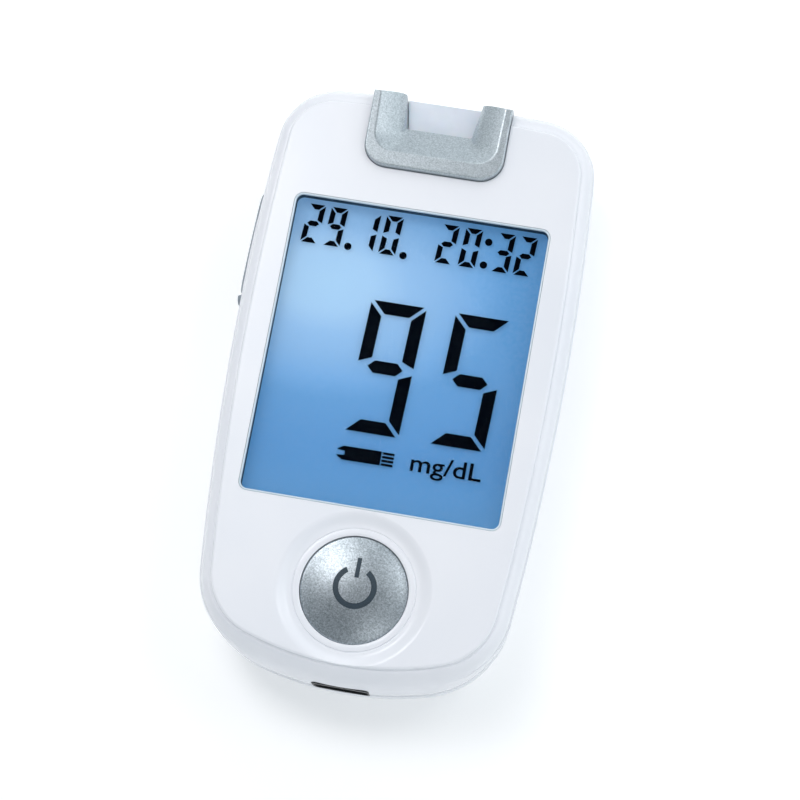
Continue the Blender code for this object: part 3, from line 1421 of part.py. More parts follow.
def make_rocker():
    """The side rocker: a bowed key on a hub, with a lug behind each end."""
    outer = []
    inner = []
    steps = SHOULDER_STEPS * 2
    for i in range(steps + 1):
        share = 2 * i / steps - 1
        y = ROCKER_Y + share * ROCKER_LENGTH / 2
        bulge = ROCKER_PROUD * math.sqrt(1 - abs(share) ** ROCKER_BULGE_POWER)
        outer.append((-side_edge(y, 0) - bulge, y))
        inner.append((-side_edge(y, ROCKER_THICKNESS - ROCKER_PROUD), y))
    top = rocker_top()
    bottom = top - ROCKER_HEIGHT
    rocker = slab("side_rocker", outer + inner[::-1], bottom, top, WHITE_KEY)
    round_edges(rocker, ROCKER_EDGE_ROUND)
    pin_x = rocker_pin_x()
    back = ROCKER_THICKNESS - ROCKER_PROUD - CASE_WIDTH / 2
    low = bottom + ROCKER_EDGE_ROUND
    high = top - ROCKER_EDGE_ROUND
    web_half = ROCKER_HUB_RADIUS - EMBED
    web = box(
        "rocker_web",
        (back - EMBED, ROCKER_Y - web_half, low),
        (pin_x, ROCKER_Y + web_half, high),
    )
    hub = cylinder(
        "rocker_hub",
        ROCKER_HUB_RADIUS,
        (pin_x, ROCKER_Y, bottom + CLEARANCE / 2),
        (pin_x, ROCKER_Y, top - CLEARANCE / 2),
    )
    join(rocker, web, hub)
    for name, side in (("lower", -1), ("upper", 1)):
        y = ROCKER_Y + side * ROCKER_LUG_Y
        lug = box(
            "rocker_lug_" + name,
            (back - EMBED, y - ROCKER_LUG_WIDTH / 2, low),
            (back + ROCKER_LUG_REACH, y + ROCKER_LUG_WIDTH / 2, high),
        )
        join(rocker, lug)
    bore = cylinder(
        "rocker_bore",
        ROCKER_PIN_RADIUS + CLEARANCE,
        (pin_x, ROCKER_Y, bottom - OVERRUN),
        (pin_x, ROCKER_Y, top + OVERRUN),
    )
    cut(rocker, bore)
    put_on_pivot(rocker, "side_rocker_pivot", (pin_x, ROCKER_Y, (bottom + top) / 2))
    seat = PIN_SEAT_DEPTH + CLEARANCE
    cylinder(
        "rocker_pin",
        ROCKER_PIN_RADIUS,
        (pin_x, ROCKER_Y, bottom - seat),
        (pin_x, ROCKER_Y, top + seat),
        STEEL,
    )
    face = back + ROCKER_LUG_REACH + CLEARANCE
    for name, side in (("lower", -1), ("upper", 1)):
        y = ROCKER_Y + side * ROCKER_LUG_Y
        switch = box(
            "rocker_switch_" + name,
            (
                face + SIDE_BUTTON_REACH,
                y - SIDE_SWITCH_LENGTH / 2,
                UNDER_BOARD - SIDE_SWITCH_HEIGHT,
            ),
            (
                face + SIDE_BUTTON_REACH + SIDE_SWITCH_DEPTH,
                y + SIDE_SWITCH_LENGTH / 2,
                UNDER_BOARD,
            ),
            BLACK_PLASTIC,
        )
        middle = UNDER_BOARD - SIDE_SWITCH_HEIGHT / 2
        nub = box(
            "rocker_switch_nub_" + name,
            (face, y - SIDE_BUTTON_WIDTH / 2, middle - SIDE_BUTTON_HEIGHT / 2),
            (
                face + SIDE_BUTTON_REACH + EMBED,
                y + SIDE_BUTTON_WIDTH / 2,
                middle + SIDE_BUTTON_HEIGHT / 2,
            ),
        )
        join(switch, nub)


# Data port

def make_data_port():
    """A drawn metal shell under the board, with a moulded tongue inside."""
    half = PORT_WIDTH / 2
    top = UNDER_BOARD
    bottom = top - PORT_HEIGHT
    back = PORT_MOUTH_Y + PORT_LENGTH
    shell = box(
        "data_port_shell", (-half, PORT_MOUTH_Y, bottom), (half, back, top), NICKEL
    )
    inside = box(
        "data_port_inside",
        (PORT_SHEET - half, PORT_MOUTH_Y - OVERRUN, bottom + PORT_SHEET),
        (half - PORT_SHEET, back - PORT_SHEET, top - PORT_SHEET),
    )
    cut(shell, inside)
    middle = (bottom + top) / 2
    block_half = half - PORT_SHEET - CLEARANCE
    block_end = back - PORT_SHEET - CLEARANCE
    block = box(
        "data_port_tongue",
        (-block_half, block_end - PORT_PLUG_BLOCK, bottom + PORT_SHEET + CLEARANCE),
        (block_half, block_end, top - PORT_SHEET - CLEARANCE),
        BLACK_PLASTIC,
    )
    tongue = box(
        "data_port_tongue_blade",
        (
            -PORT_TONGUE_HALF_WIDTH,
            PORT_MOUTH_Y + PORT_TONGUE_SETBACK,
            middle - PORT_TONGUE_THICKNESS / 2,
        ),
        (PORT_TONGUE_HALF_WIDTH, block_end - EMBED, middle + PORT_TONGUE_THICKNESS / 2),
    )
    join(block, tongue)


# Screws

def screw(name, place, radius, head_radius, head_height, length, head_bottom):
    """A pan-head screw pointing up, turned about its own axis."""
    profile = [
        (0, head_height + length),
        (radius, head_height + length),
        (radius, head_height),
        (head_radius, head_height),
        (head_radius, 0),
        (0, 0),
    ]
    x, y = place
    return turned(name, profile, (x, y, head_bottom), STEEL)


def make_screws():
    """Four case screws from the back, and two board screws from below the board."""
    seat = SCREW_SEAT_HEIGHT - CLEARANCE
    for name, place in screw_places().items():
        screw(
            "case_screw_" + name,
            place,
            SCREW_RADIUS,
            SCREW_HEAD_RADIUS,
            SCREW_HEAD_HEIGHT,
            SCREW_LENGTH,
            seat - SCREW_HEAD_HEIGHT,
        )
    for name, place in board_screw_places().items():
        screw(
            "board_screw_" + name,
            place,
            BOARD_SCREW_RADIUS,
            BOARD_SCREW_HEAD_RADIUS,
            BOARD_SCREW_HEAD_HEIGHT,
            BOARD_SCREW_LENGTH,
            UNDER_BOARD - BOARD_SCREW_HEAD_HEIGHT,
        )


make_front_cover()
make_rear_cover()
make_battery_door()
make_battery_pieces()
make_display()
make_board()
make_board_components()
make_power_button()
make_bezel()
make_strip_guide()
make_strip_connector()
make_rocker()
make_data_port()
make_screws()
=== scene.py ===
"""Looks of a blood glucose meter: table, camera and light, then its pieces in order of assembly.

Sizes are in millimetres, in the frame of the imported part: X across the meter, Y
towards the test-strip port, Z up through the display, from the middle of the back.
"""
import math

import bmesh
import bpy
import numpy as np
from mathutils import Matrix, Vector


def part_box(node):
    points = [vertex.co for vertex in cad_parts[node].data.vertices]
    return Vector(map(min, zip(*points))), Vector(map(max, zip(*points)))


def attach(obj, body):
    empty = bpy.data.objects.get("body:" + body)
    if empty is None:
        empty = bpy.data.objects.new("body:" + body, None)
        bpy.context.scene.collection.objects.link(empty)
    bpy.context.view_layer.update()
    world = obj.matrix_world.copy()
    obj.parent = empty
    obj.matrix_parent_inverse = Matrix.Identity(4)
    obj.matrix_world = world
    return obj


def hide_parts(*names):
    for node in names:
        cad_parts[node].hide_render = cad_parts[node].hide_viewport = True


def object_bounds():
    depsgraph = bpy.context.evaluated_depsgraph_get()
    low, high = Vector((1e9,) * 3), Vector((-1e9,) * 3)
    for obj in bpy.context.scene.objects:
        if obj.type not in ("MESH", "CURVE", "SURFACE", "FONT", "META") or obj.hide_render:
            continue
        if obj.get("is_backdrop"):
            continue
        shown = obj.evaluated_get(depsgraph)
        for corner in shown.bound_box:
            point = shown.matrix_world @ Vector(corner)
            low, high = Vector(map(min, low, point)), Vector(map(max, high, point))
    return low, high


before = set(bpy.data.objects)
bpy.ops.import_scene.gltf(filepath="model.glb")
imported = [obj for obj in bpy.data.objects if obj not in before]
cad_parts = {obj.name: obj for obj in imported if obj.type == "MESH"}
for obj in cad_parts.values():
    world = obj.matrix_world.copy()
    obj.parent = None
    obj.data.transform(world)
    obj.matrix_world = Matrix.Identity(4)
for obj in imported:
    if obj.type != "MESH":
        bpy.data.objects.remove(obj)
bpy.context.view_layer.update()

# Table, camera and light
# A plain white table under a ceiling lamp that no gloss mirrors, with soft round lamps on the four
# sides of it. The camera looks down from the lower right, as the photograph's did.
MM = 0.001
TABLE_REACH = 3000.0
TABLE_DROP = 0.02
CAMERA_PLACE = (36.48, -79.88, 371.66)
# World to camera, solved from the display's corners with Y and Z turned over in both
CAMERA_TURN = (
    (0.98238596, -0.17759098, 0.05813155),
    (0.16021008, 0.96059215, 0.22714631),
    (-0.09617985, -0.21383209, 0.97212410),
)
LENS_LENGTH = 103.5
# Name, place, width, power in watts and colour
LAMPS = (
    ("ceiling_lamp", (-60.0, 70.0, 400.0), 130.0, 0.2, "#FFFDFD"),
    ("key_lamp", (-185.0, 165.0, 450.0), 180.0, 0.48, "#FFFDFD"),
    ("right_lamp", (220.0, 150.0, 400.0), 170.0, 0.2, "#FFFFFF"),
    ("far_lamp", (-60.0, 410.0, 330.0), 220.0, 0.12, "#FFFFFF"),
    ("fill_lamp", (100.0, -180.0, 440.0), 130.0, 0.09, "#FFFFFF"),
)
SKY = ((0.0, "#C6CED4"), (0.12, "#D0D9DF"), (0.3, "#F8FDFF"), (0.55, "#F4FBFF"), (0.76, "#B0B8BE"),
       (0.9, "#545B62"), (1.0, "#41484E"))
# The sky's strength is a level plus the share of a ray's direction along the tilt
SKY_TILT = (0.3, 0.08, 0.0)
SKY_LEVEL = 0.96
TABLE_GLOW = 0.2


def linear(code):
    """A colour written as sRGB hex, turned to linear light channel by channel: a share of it plus
    0.055, over 1.055, to the power 2.4, or a share below 0.04 over 12.92."""
    shares = np.array([int(code[i:i + 2], 16) for i in (1, 3, 5)]) / 255
    bent = ((shares + 0.055) / 1.055) ** 2.4
    return tuple(np.where(shares <= 0.04045, shares / 12.92, bent)) + (1.0,)


def add_node(tree, kind, inputs=None, stops=None, **settings):
    """Adds one node. An input is a plain value, a hex colour, or a (node, output) pair to link."""
    node = tree.nodes.new("ShaderNode" + kind)
    for name, value in settings.items():
        setattr(node, name, value)
    for place, value in (inputs or {}).items():
        if isinstance(value, str):
            node.inputs[place].default_value = linear(value)
        elif isinstance(value, tuple) and isinstance(value[0], bpy.types.Node):
            tree.links.new(value[0].outputs[value[1]], node.inputs[place])
        else:
            node.inputs[place].default_value = value
    if stops:
        marks = node.color_ramp.elements
        while len(marks) < len(stops):
            marks.new(1.0)
        for mark, (place, colour) in zip(marks, stops):
            mark.position = place
            mark.color = linear(colour)
    return node


def new_finish(name):
    """A new material, its node tree, its Principled surface and its Object coordinates."""
    finish = bpy.data.materials.new(name)
    finish.use_nodes = True
    tree = finish.node_tree
    return finish, tree, tree.nodes["Principled BSDF"], (add_node(tree, "TexCoord"), "Object")


def settle(surface, **sockets):
    """Sets sockets of the surface: a plain value, a hex colour, or a (node, output) pair to link.
    An underscore in a name stands for a space."""
    for name, value in sockets.items():
        socket = surface.inputs[name.replace("_", " ")]
        if isinstance(value, tuple):
            surface.id_data.links.new(value[0].outputs[value[1]], socket)
        else:
            socket.default_value = linear(value) if isinstance(value, str) else value


def new_object(name, contents):
    """An object at the origin, in the scene."""
    thing = bpy.data.objects.new(name, contents)
    bpy.context.scene.collection.objects.link(thing)
    return thing


# White card, a little brighter to the camera than to the meter, as a lit studio table is
table_finish, tree, surface, place = new_finish("matt_white_studio_card")
settle(surface, Base_Color="#FFFFFF", Roughness=0.9, Specular_IOR_Level=0.0)
ray = add_node(tree, "LightPath")
seen = add_node(tree, "Math", {0: (ray, "Is Camera Ray"), 1: (ray, "Is Glossy Ray")},
                operation="MAXIMUM")
seen = add_node(tree, "Math", {0: (seen, 0), 1: (ray, "Is Transmission Ray")}, operation="MAXIMUM")
lift = add_node(tree, "Math", {0: (seen, 0), 1: TABLE_GLOW}, operation="MULTIPLY")
glow = add_node(tree, "Emission", {"Color": "#FFFFFF", "Strength": (lift, 0)})
mixed = add_node(tree, "AddShader", {0: (surface, 0), 1: (glow, 0)})
tree.links.new(mixed.outputs[0], tree.nodes["Material Output"].inputs["Surface"])

table_mesh = bpy.data.meshes.new("table")
reach = TABLE_REACH * MM
drop = -TABLE_DROP * MM
table_mesh.from_pydata(
    [(-reach, -reach, drop), (reach, -reach, drop), (reach, reach, drop), (-reach, reach, drop)],
    [], [(0, 1, 2, 3)])
table_mesh.materials.append(table_finish)
new_object("table", table_mesh)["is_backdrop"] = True

world = bpy.data.worlds.new("studio")
bpy.context.scene.world = world
world.use_nodes = True
tree = world.node_tree
ray = add_node(tree, "LightPath")
# The studio is pale near the table and darker overhead, by the height that a ray points to
course = add_node(tree, "SeparateXYZ", {0: (add_node(tree, "TexCoord"), "Generated")})
sky = add_node(tree, "ValToRGB", {0: (course, "Z")}, stops=SKY)
tilt = add_node(tree, "VectorMath", {0: (add_node(tree, "TexCoord"), "Generated"), 1: SKY_TILT},
                operation="DOT_PRODUCT")
level_up = add_node(tree, "Math", {0: (tilt, "Value"), 1: SKY_LEVEL}, operation="ADD")
dim = add_node(tree, "Background", {"Color": (sky, 0), "Strength": (level_up, 0)})
white = add_node(tree, "Background", {"Color": "#FFFFFF", "Strength": 1.0})
mixed = add_node(tree, "MixShader", {0: (ray, "Is Camera Ray"), 1: (dim, 0), 2: (white, 0)})
tree.links.new(mixed.outputs[0], tree.nodes["World Output"].inputs["Surface"])


def add_lamp(name, spot, side, power, colour):
    """A round area lamp that faces the middle of the meter."""
    lamp_data = bpy.data.lights.new(name, "AREA")
    lamp_data.shape = "DISK"
    lamp_data.size = side * MM
    lamp_data.energy = power
    lamp_data.color = linear(colour)[:3]
    lamp = new_object(name, lamp_data)
    lamp.location = Vector(spot) * MM
    lamp.rotation_euler = (-Vector(spot)).to_track_quat("-Z", "Y").to_euler()
    return lamp


ceiling_lamp = [add_lamp(*lamp) for lamp in LAMPS][0]
ceiling_lamp.visible_glossy = False

flip = Matrix.Diagonal((1, -1, -1))
turn = (flip @ Matrix(CAMERA_TURN) @ flip).transposed()
camera_data = bpy.data.cameras.new("camera")
camera_data.lens = LENS_LENGTH
camera = new_object("camera", camera_data)
camera.matrix_world = Matrix.Translation(Vector(CAMERA_PLACE) * MM) @ turn.to_4x4()
bpy.context.scene.camera = camera
bpy.context.scene.view_settings.view_transform = "Standard"

# Rear cover
# A shallow dish of white ABS, injection moulded, with rolled edges. Its rim stands 0.3 mm proud of
# the front cover as a thin bright lip. Four screws from the back hold the two covers together.
CASE_WIDTH = 54.0
CASE_LENGTH = 98.0
WIDEST_Y = 10.15
STRIP_END_ARC = 296.0
SIDE_ARC = 446.0
PORT_END_ARC = 52.2
STRIP_CORNER = 10.2
PORT_CORNER = 13.6
# Points on each of the outline's five arcs
OUTLINE_STEPS = (10, 26, 44, 30, 16)
WALL = 1.6
BACK_THICKNESS = 1.5
BACK_INSET = 4.5
BACK_ROLL_HEIGHT = 7.2
REAR_RIM = 9.7
REBATE_WALL = 0.7
REBATE_DEPTH = 1.2
REBATE_EDGE = 0.08
RIM_ROUND = 0.25
# Insets in threes are for the strip end, the sides and the port end
RIM_INSETS = np.array((0.85, 0.5, 0.7))
PORT_TAPER = 1.5
LOW_CORNER_GROWTH = 2.2
BAY_HALF_WIDTH = 11.2
BAY_LOW_Y = -30.0
BAY_HIGH_Y = 20.8
BAY_CEILING = 12.4
BAY_WALL = 1.0
BAY_ROOF = 0.8
# Half width, then start and end along Y, as in HINGE_BLOCK
DOOR_OPENING = (12.5, -31.3, 24.6)
DOOR_RECESS_HEIGHT = 1.6
SCREW_PLACES = ((-17.5, -34.3), (17.5, -34.3), (-17.0, 37.4), (17.0, 37.4))
COUNTERBORE_RADIUS = 2.1
COUNTERBORE_HEIGHT = 3.4
REAR_BOSS_RADIUS = 3.0
COUNTERBORE_ROUND = 0.25
SCREW_BORE_RADIUS = 1.1
HINGE_BLOCK = (15.3, 21.3, 25.8)
HINGE_BLOCK_TOP = 3.7
BLOCK_CORNER = 1.0
# How far out and how high each step of the opening's edge lies
DOOR_RECESS_EDGE = ((0.15, -0.005), (0.04, 0.04), (0, 0.15))
DOOR_CORNER = 1.0
BAY_CORNER = 0.4
THUMB_Y = -31.0
# Radius and height of each step of the dish
THUMB_DISH = ((0, 0.9), (2.6, 0.86), (3.8, 0.6), (4.4, 0.25), (4.7, -0.005))
PAST = 2.0
CLEAR = 0.005
LEAST_CORNER = 0.01
MERGE_REACH = 1e-8


def touch(middle_a, reach_a, middle_b, reach_b, side):
    """Where two circles cross, on the side of higher Y (1) or lower Y (-1)."""
    a, b = np.array(middle_a, float), np.array(middle_b, float)
    apart = np.hypot(*(b - a))
    along = (reach_a**2 - reach_b**2 + apart**2) / (2 * apart)
    across = math.sqrt(max(reach_a**2 - along**2, 0))
    course = (b - a) / apart
    normal = np.array((course[1], -course[0]))
    both = (a + along * course + across * normal, a + along * course - across * normal)
    return max(both, key=lambda point: side * point[1])


def case_outline(strip_inset, side_inset, port_inset, port_growth=0.0):
    """Plan of the case at one level. Five tangent arcs run down the right side: end, corner, side,
    corner, end. Each point is an arc's middle plus its radius times (cos, sin) of an even share of
    its turn, and the left side mirrors the right one."""
    half = CASE_LENGTH / 2
    strip_middle = (0, half - STRIP_END_ARC)
    side_middle = (CASE_WIDTH / 2 - SIDE_ARC, WIDEST_Y)
    port_middle = (0, PORT_END_ARC - half)
    strip_arc = STRIP_END_ARC - strip_inset
    side_arc = SIDE_ARC - side_inset
    port_arc = PORT_END_ARC - port_inset
    strip_corner = max(STRIP_CORNER - (strip_inset + side_inset) / 2, 1)
    port_corner = max(PORT_CORNER + port_growth - (port_inset + side_inset) / 2, 1)
    upper = touch(strip_middle, strip_arc - strip_corner, side_middle, side_arc - strip_corner, 1)
    lower = touch(side_middle, side_arc - port_corner, port_middle, port_arc - port_corner, -1)
    bounds = [math.pi / 2]
    for middle, spot in ((strip_middle, upper), (side_middle, upper),
                         (side_middle, lower), (port_middle, lower)):
        bounds.append(math.atan2(spot[1] - middle[1], spot[0] - middle[0]))
    bounds.append(-math.pi / 2)
    arcs = ((strip_middle, strip_arc), (upper, strip_corner), (side_middle, side_arc),
            (lower, port_corner), (port_middle, port_arc))
    right = []
    for (middle, radius), start, end, steps in zip(arcs, bounds, bounds[1:], OUTLINE_STEPS):
        angle = np.linspace(start, end, steps, endpoint=False)
        right.append(np.stack((middle[0] + radius * np.cos(angle),
                               middle[1] + radius * np.sin(angle)), axis=1))
    right = np.concatenate(right + [np.array([[0, port_inset - half]])])
    right[0] = (0, half - strip_inset)
    return np.concatenate((right, right[-2:0:-1] * (-1, 1)))


def quarter_round(radius, steps):
    """Steps of a quarter turn: (radius times 1 - cos, radius times 1 - sin) of each angle."""
    return [(radius * (1 - math.cos(angle)), radius * (1 - math.sin(angle)))
            for angle in np.linspace(0, math.pi / 2, steps)]


def rounded_plan(half_width, start, end, corner, steps=10):
    """Plan of a rectangle about the Y axis with four quarter-circle corners."""
    corner = max(min(corner, half_width, (end - start) / 2), LEAST_CORNER)
    angle = np.linspace(0, math.pi / 2, steps + 1)
    quarters = []
    for quarter, (x, y) in enumerate(((half_width - corner, end - corner),
                                      (corner - half_width, end - corner),
                                      (corner - half_width, start + corner),
                                      (half_width - corner, start + corner))):
        turned = angle + quarter * math.pi / 2
        quarters.append(np.stack((x + corner * np.cos(turned),
                                  y + corner * np.sin(turned)), axis=1))
    return np.concatenate(quarters)


def circle_plan(x, y, radius, steps=64):
    """Plan of a circle: its middle plus the radius times (cos, sin) of even shares of a turn."""
    angle = np.linspace(0, 2 * math.pi, steps, endpoint=False)
    return np.stack((x + radius * np.cos(angle), y + radius * np.sin(angle)), axis=1)


def level(plan, height, axis="Z"):
    """A plan set at one height along an axis: (x, y) becomes a ring of points in space."""
    rise = np.full((len(plan), 1), float(height))
    if axis == "X":
        return np.hstack((rise, plan))
    if axis == "Y":
        return np.hstack((plan[:, :1], rise, plan[:, 1:]))
    return np.hstack((plan, rise))


def shell(name, rings, joined=False):
    """A closed body on a grid: point (i, j) is point j of ring i, and four neighbours make a face.
    Flat faces close the first and last rings, or these join each other. Points that meet at a pole
    are merged, and the faces are turned over if the volume that they hold comes out negative."""
    grid = np.array(rings, float)
    count, around, _ = grid.shape
    points = grid.reshape(-1, 3) * MM
    index = np.arange(count * around).reshape(count, around)
    beside = np.roll(index, -1, axis=1)
    above = np.roll(index, -1, axis=0)
    above_beside = np.roll(beside, -1, axis=0)
    quads = np.stack((index, beside, above_beside, above), axis=-1)
    quads = (quads if joined else quads[:-1]).reshape(-1, 4)
    corner = points[quads]
    volume = np.einsum("ij,ij->", corner[:, 0], np.cross(corner[:, 1], corner[:, 2]))
    volume += np.einsum("ij,ij->", corner[:, 0], np.cross(corner[:, 2], corner[:, 3]))
    faces = quads.tolist()
    if not joined:
        for cap in (index[0][::-1], index[-1]):
            ring = points[cap]
            volume += np.einsum("j,ij->", ring[0], np.cross(ring[1:-1], ring[2:]))
            faces.append(cap.tolist())
    mesh = bpy.data.meshes.new(name)
    mesh.from_pydata(points.tolist(), [], faces)
    shape = bmesh.new()
    shape.from_mesh(mesh)
    bmesh.ops.remove_doubles(shape, verts=shape.verts, dist=MERGE_REACH)
    bmesh.ops.dissolve_degenerate(shape, edges=shape.edges, dist=MERGE_REACH)
    if volume < 0:
        bmesh.ops.reverse_faces(shape, faces=shape.faces)
    shape.to_mesh(mesh)
    shape.free()
    return new_object(name, mesh)


def prism(name, plan, low, high, axis="Z"):
    """A straight body: one plan at two heights."""
    return shell(name, [level(plan, low, axis), level(plan, high, axis)])


def lathe(name, profile, x, y, steps=96):
    """A turned body: each (radius, height) of the profile becomes a circle about (x, y)."""
    return shell(name, [level(circle_plan(x, y, radius, steps), z) for radius, z in profile])


def carve(piece, *changes):
    """The piece with other bodies cut away or joined in turn, kept as one plain mesh."""
    for operation, other in changes:
        step = piece.modifiers.new(other.name, "BOOLEAN")
        step.operation = operation
        step.solver = "EXACT"
        step.object = other
    bpy.context.view_layer.update()
    carved = piece.evaluated_get(bpy.context.evaluated_depsgraph_get())
    mesh = bpy.data.meshes.new_from_object(carved)
    piece.modifiers.clear()
    piece.data = mesh
    for _, other in changes:
        bpy.data.objects.remove(other)
    return piece


def dress(piece, finish, slot, body, *nodes, crease=28):
    """Gives a piece its finish and its shading, ties it to its body, and hides the nodes that it
    stands for.
    """
    mesh = piece.data
    mesh.materials.clear()
    mesh.materials.append(finish)
    mesh.shade_smooth()
    mesh.set_sharp_from_angle(angle=math.radians(crease))
    weighted = piece.modifiers.new("even_shading", "WEIGHTED_NORMAL")
    weighted.keep_sharp = True
    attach(piece, body)
    if nodes:
        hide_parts(*nodes)
    return piece


def relief(tree, strength, depth, height):
    """The output of a bump: so many millimetres deep, of the texture's height."""
    bump = add_node(tree, "Bump", {"Strength": strength, "Distance": depth * MM, "Height": height})
    return bump, 0


def white_abs(name, top, foot, roughness, peel):
    """ABS moulded in a polished tool: a clean white skin with the faint unevenness of its flow."""
    finish, tree, surface, place = new_finish(name)
    flow = add_node(tree, "TexNoise", {"Vector": place, "Scale": 45.0, "Detail": 2.0})
    tint = add_node(tree, "ValToRGB", {0: (flow, 0)}, stops=((0.35, foot), (0.65, top)))
    skin = add_node(tree, "TexNoise", {"Vector": place, "Scale": peel, "Detail": 3.0})
    wear = add_node(tree, "MapRange", {0: (flow, 0), 3: roughness * 0.85, 4: roughness * 1.2})
    settle(surface, Base_Color=(tint, 0), Normal=relief(tree, 0.12, 0.01, (skin, 0)),
           Roughness=(wear, 0), IOR=1.53)
    return finish


# The covers' outer faces mirror the lamps softly, and what lies inside or behind is satin
white_gloss = white_abs("glossy_moulded_white_ABS", "#F3F4F9", "#EFF1F7", roughness=0.2,
                        peel=700.0)
white_satin = white_abs("satin_moulded_white_ABS", "#F1F2F6", "#ECEEF3", roughness=0.42,
                        peel=3500.0)


def rim_level(inset, height):
    """Plan of the rear cover, drawn in from its rim, and more so at the port end."""
    insets = RIM_INSETS + inset * np.array((1, 1, PORT_TAPER))
    return level(case_outline(*insets, LOW_CORNER_GROWTH), height)


inner_roll = BACK_ROLL_HEIGHT - BACK_THICKNESS
rings = [rim_level(WALL + BACK_INSET * inset, BACK_THICKNESS + inner_roll * rise)
         for rise, inset in quarter_round(1, 9)]
rebate_floor = REAR_RIM - REBATE_DEPTH
for inset, height in ((WALL, rebate_floor), (REBATE_WALL, rebate_floor),
                      (REBATE_WALL, REAR_RIM - REBATE_EDGE), (REBATE_WALL - REBATE_EDGE, REAR_RIM)):
    rings.append(rim_level(inset, height))
for drop, inset in quarter_round(RIM_ROUND, 7):
    rings.append(rim_level(inset, REAR_RIM - drop))
rings += [rim_level(BACK_INSET * inset, BACK_ROLL_HEIGHT * rise)
          for rise, inset in quarter_round(1, 25)[::-1]]
rear_cover = shell("rear_cover_shell", rings)
bay_walls = rounded_plan(BAY_HALF_WIDTH + BAY_WALL, BAY_LOW_Y - BAY_WALL, BAY_HIGH_Y + BAY_WALL,
                         BLOCK_CORNER)
hinge_block = rounded_plan(*HINGE_BLOCK, BLOCK_CORNER)
rear_changes = []
for name, plan, top in (("bay_walls", bay_walls, BAY_CEILING + BAY_ROOF),
                        ("hinge_block", hinge_block, HINGE_BLOCK_TOP)):
    rear_changes.append(("UNION", prism(name, plan, BACK_THICKNESS / 2, top)))
for number, (x, y) in enumerate(SCREW_PLACES):
    boss = circle_plan(x, y, REAR_BOSS_RADIUS)
    rear_changes.append(("UNION", prism("boss_%d" % number, boss, BACK_THICKNESS / 2, REAR_RIM)))
profile = [(0, -PAST), (COUNTERBORE_RADIUS + COUNTERBORE_ROUND, -PAST)]
profile += [(COUNTERBORE_RADIUS + spread, height - CLEAR)
            for height, spread in quarter_round(COUNTERBORE_ROUND, 5)]
profile += [(COUNTERBORE_RADIUS, COUNTERBORE_HEIGHT), (SCREW_BORE_RADIUS, COUNTERBORE_HEIGHT),
            (SCREW_BORE_RADIUS, REAR_RIM + PAST), (0, REAR_RIM + PAST)]
for number, (x, y) in enumerate(SCREW_PLACES):
    rear_changes.append(("DIFFERENCE", lathe("counterbore_%d" % number, profile, x, y, 48)))
half, start, end = DOOR_OPENING
rings = [level(rounded_plan(half + spread, start - spread, end + spread, DOOR_CORNER), height)
         for spread, height in ((DOOR_RECESS_EDGE[0][0], -PAST), *DOOR_RECESS_EDGE,
                                (0, DOOR_RECESS_HEIGHT))]
rear_changes.append(("DIFFERENCE", shell("door_recess", rings)))
bay_inside = rounded_plan(BAY_HALF_WIDTH, BAY_LOW_Y, BAY_HIGH_Y, BAY_CORNER)
rear_changes.append(("DIFFERENCE", prism("bay_inside", bay_inside, -PAST, BAY_CEILING)))
thumb_dish = [*THUMB_DISH, (THUMB_DISH[-1][0], -PAST), (0, -PAST)]
rear_changes.append(("DIFFERENCE", lathe("thumb_scoop", thumb_dish, 0, THUMB_Y, 64)))

# The openings for the side rocker and the data port lie half in each cover
ROCKER_Y = 20.4
ROCKER_LENGTH = 18.0
ROCKER_TOP = 15.6
ROCKER_HEIGHT = 6.6
GAP = 0.3
PORT_HALF_WIDTH = 4.6
PORT_LOW = 9.2
PORT_HIGH = 14.9
PORT_CORNER_ROUND = 1.1
PORT_DEPTH = 2.8
MOUTH_HALF_WIDTH = 4.15
MOUTH_SILL = 9.6
MOUTH_CORNER = 0.8
MOUTH_Y = -48.1
MOUTH_STEP = 0.05
ROCKER_CORNER = 1.2
ROCKER_SLOT_DEPTH = 3.6


def rocker_opening(name):
    """A straight slot along X with round corners, as large as the rocker and its gap."""
    plan = rounded_plan(ROCKER_LENGTH / 2 + GAP, ROCKER_TOP - ROCKER_HEIGHT - GAP, ROCKER_TOP + GAP,
                        ROCKER_CORNER)
    return prism(name, plan + (ROCKER_Y, 0), -CASE_WIDTH / 2 - PAST,
                 ROCKER_SLOT_DEPTH - CASE_WIDTH / 2, "X")


def port_opening(name):
    """A rounded slot along Y. Its mouth is narrower and starts higher, above a pale sill."""
    mouth = rounded_plan(MOUTH_HALF_WIDTH, MOUTH_SILL, PORT_HIGH, MOUTH_CORNER)
    tunnel = rounded_plan(PORT_HALF_WIDTH, PORT_LOW, PORT_HIGH + 2 * CLEAR, PORT_CORNER_ROUND)
    return shell(name, [level(mouth, -CASE_LENGTH / 2 - PAST, "Y"),
                        level(mouth, MOUTH_Y - MOUTH_STEP, "Y"),
                        level(tunnel, MOUTH_Y, "Y"), level(tunnel, MOUTH_Y + PORT_DEPTH, "Y")])


rear_changes.append(("DIFFERENCE", rocker_opening("rocker_slot_low")))
rear_changes.append(("DIFFERENCE", port_opening("port_mouth_low")))
carve(rear_cover, *rear_changes)
dress(rear_cover, white_satin, "white_case_plastic", "case", "rear_cover")

# Battery cells, springs and contacts
# Two AAA cells in a printed plastic wrap lie side by side, head to tail. Springs and plates of
# nickel-plated steel stand at the ends of the compartment.
CELL_RADIUS = 5.25
CELL_LENGTH = 44.5
CELL_AXIS = 6.85
CELL_X = 5.5
NUB_RADIUS = 1.9
NUB_LENGTH = 1.0
NUB_EDGE = 0.2
# Each step of the can's shoulder and of its foot: how far in, and how far down from the nub's root
# or up from the foot
CELL_SHOULDER = ((1.1, 0.0), (0.6, 0.08), (0.15, 0.35), (0.0, 0.8))
CELL_FOOT = ((0.0, 0.5), (0.15, 0.15), (0.5, 0.0))

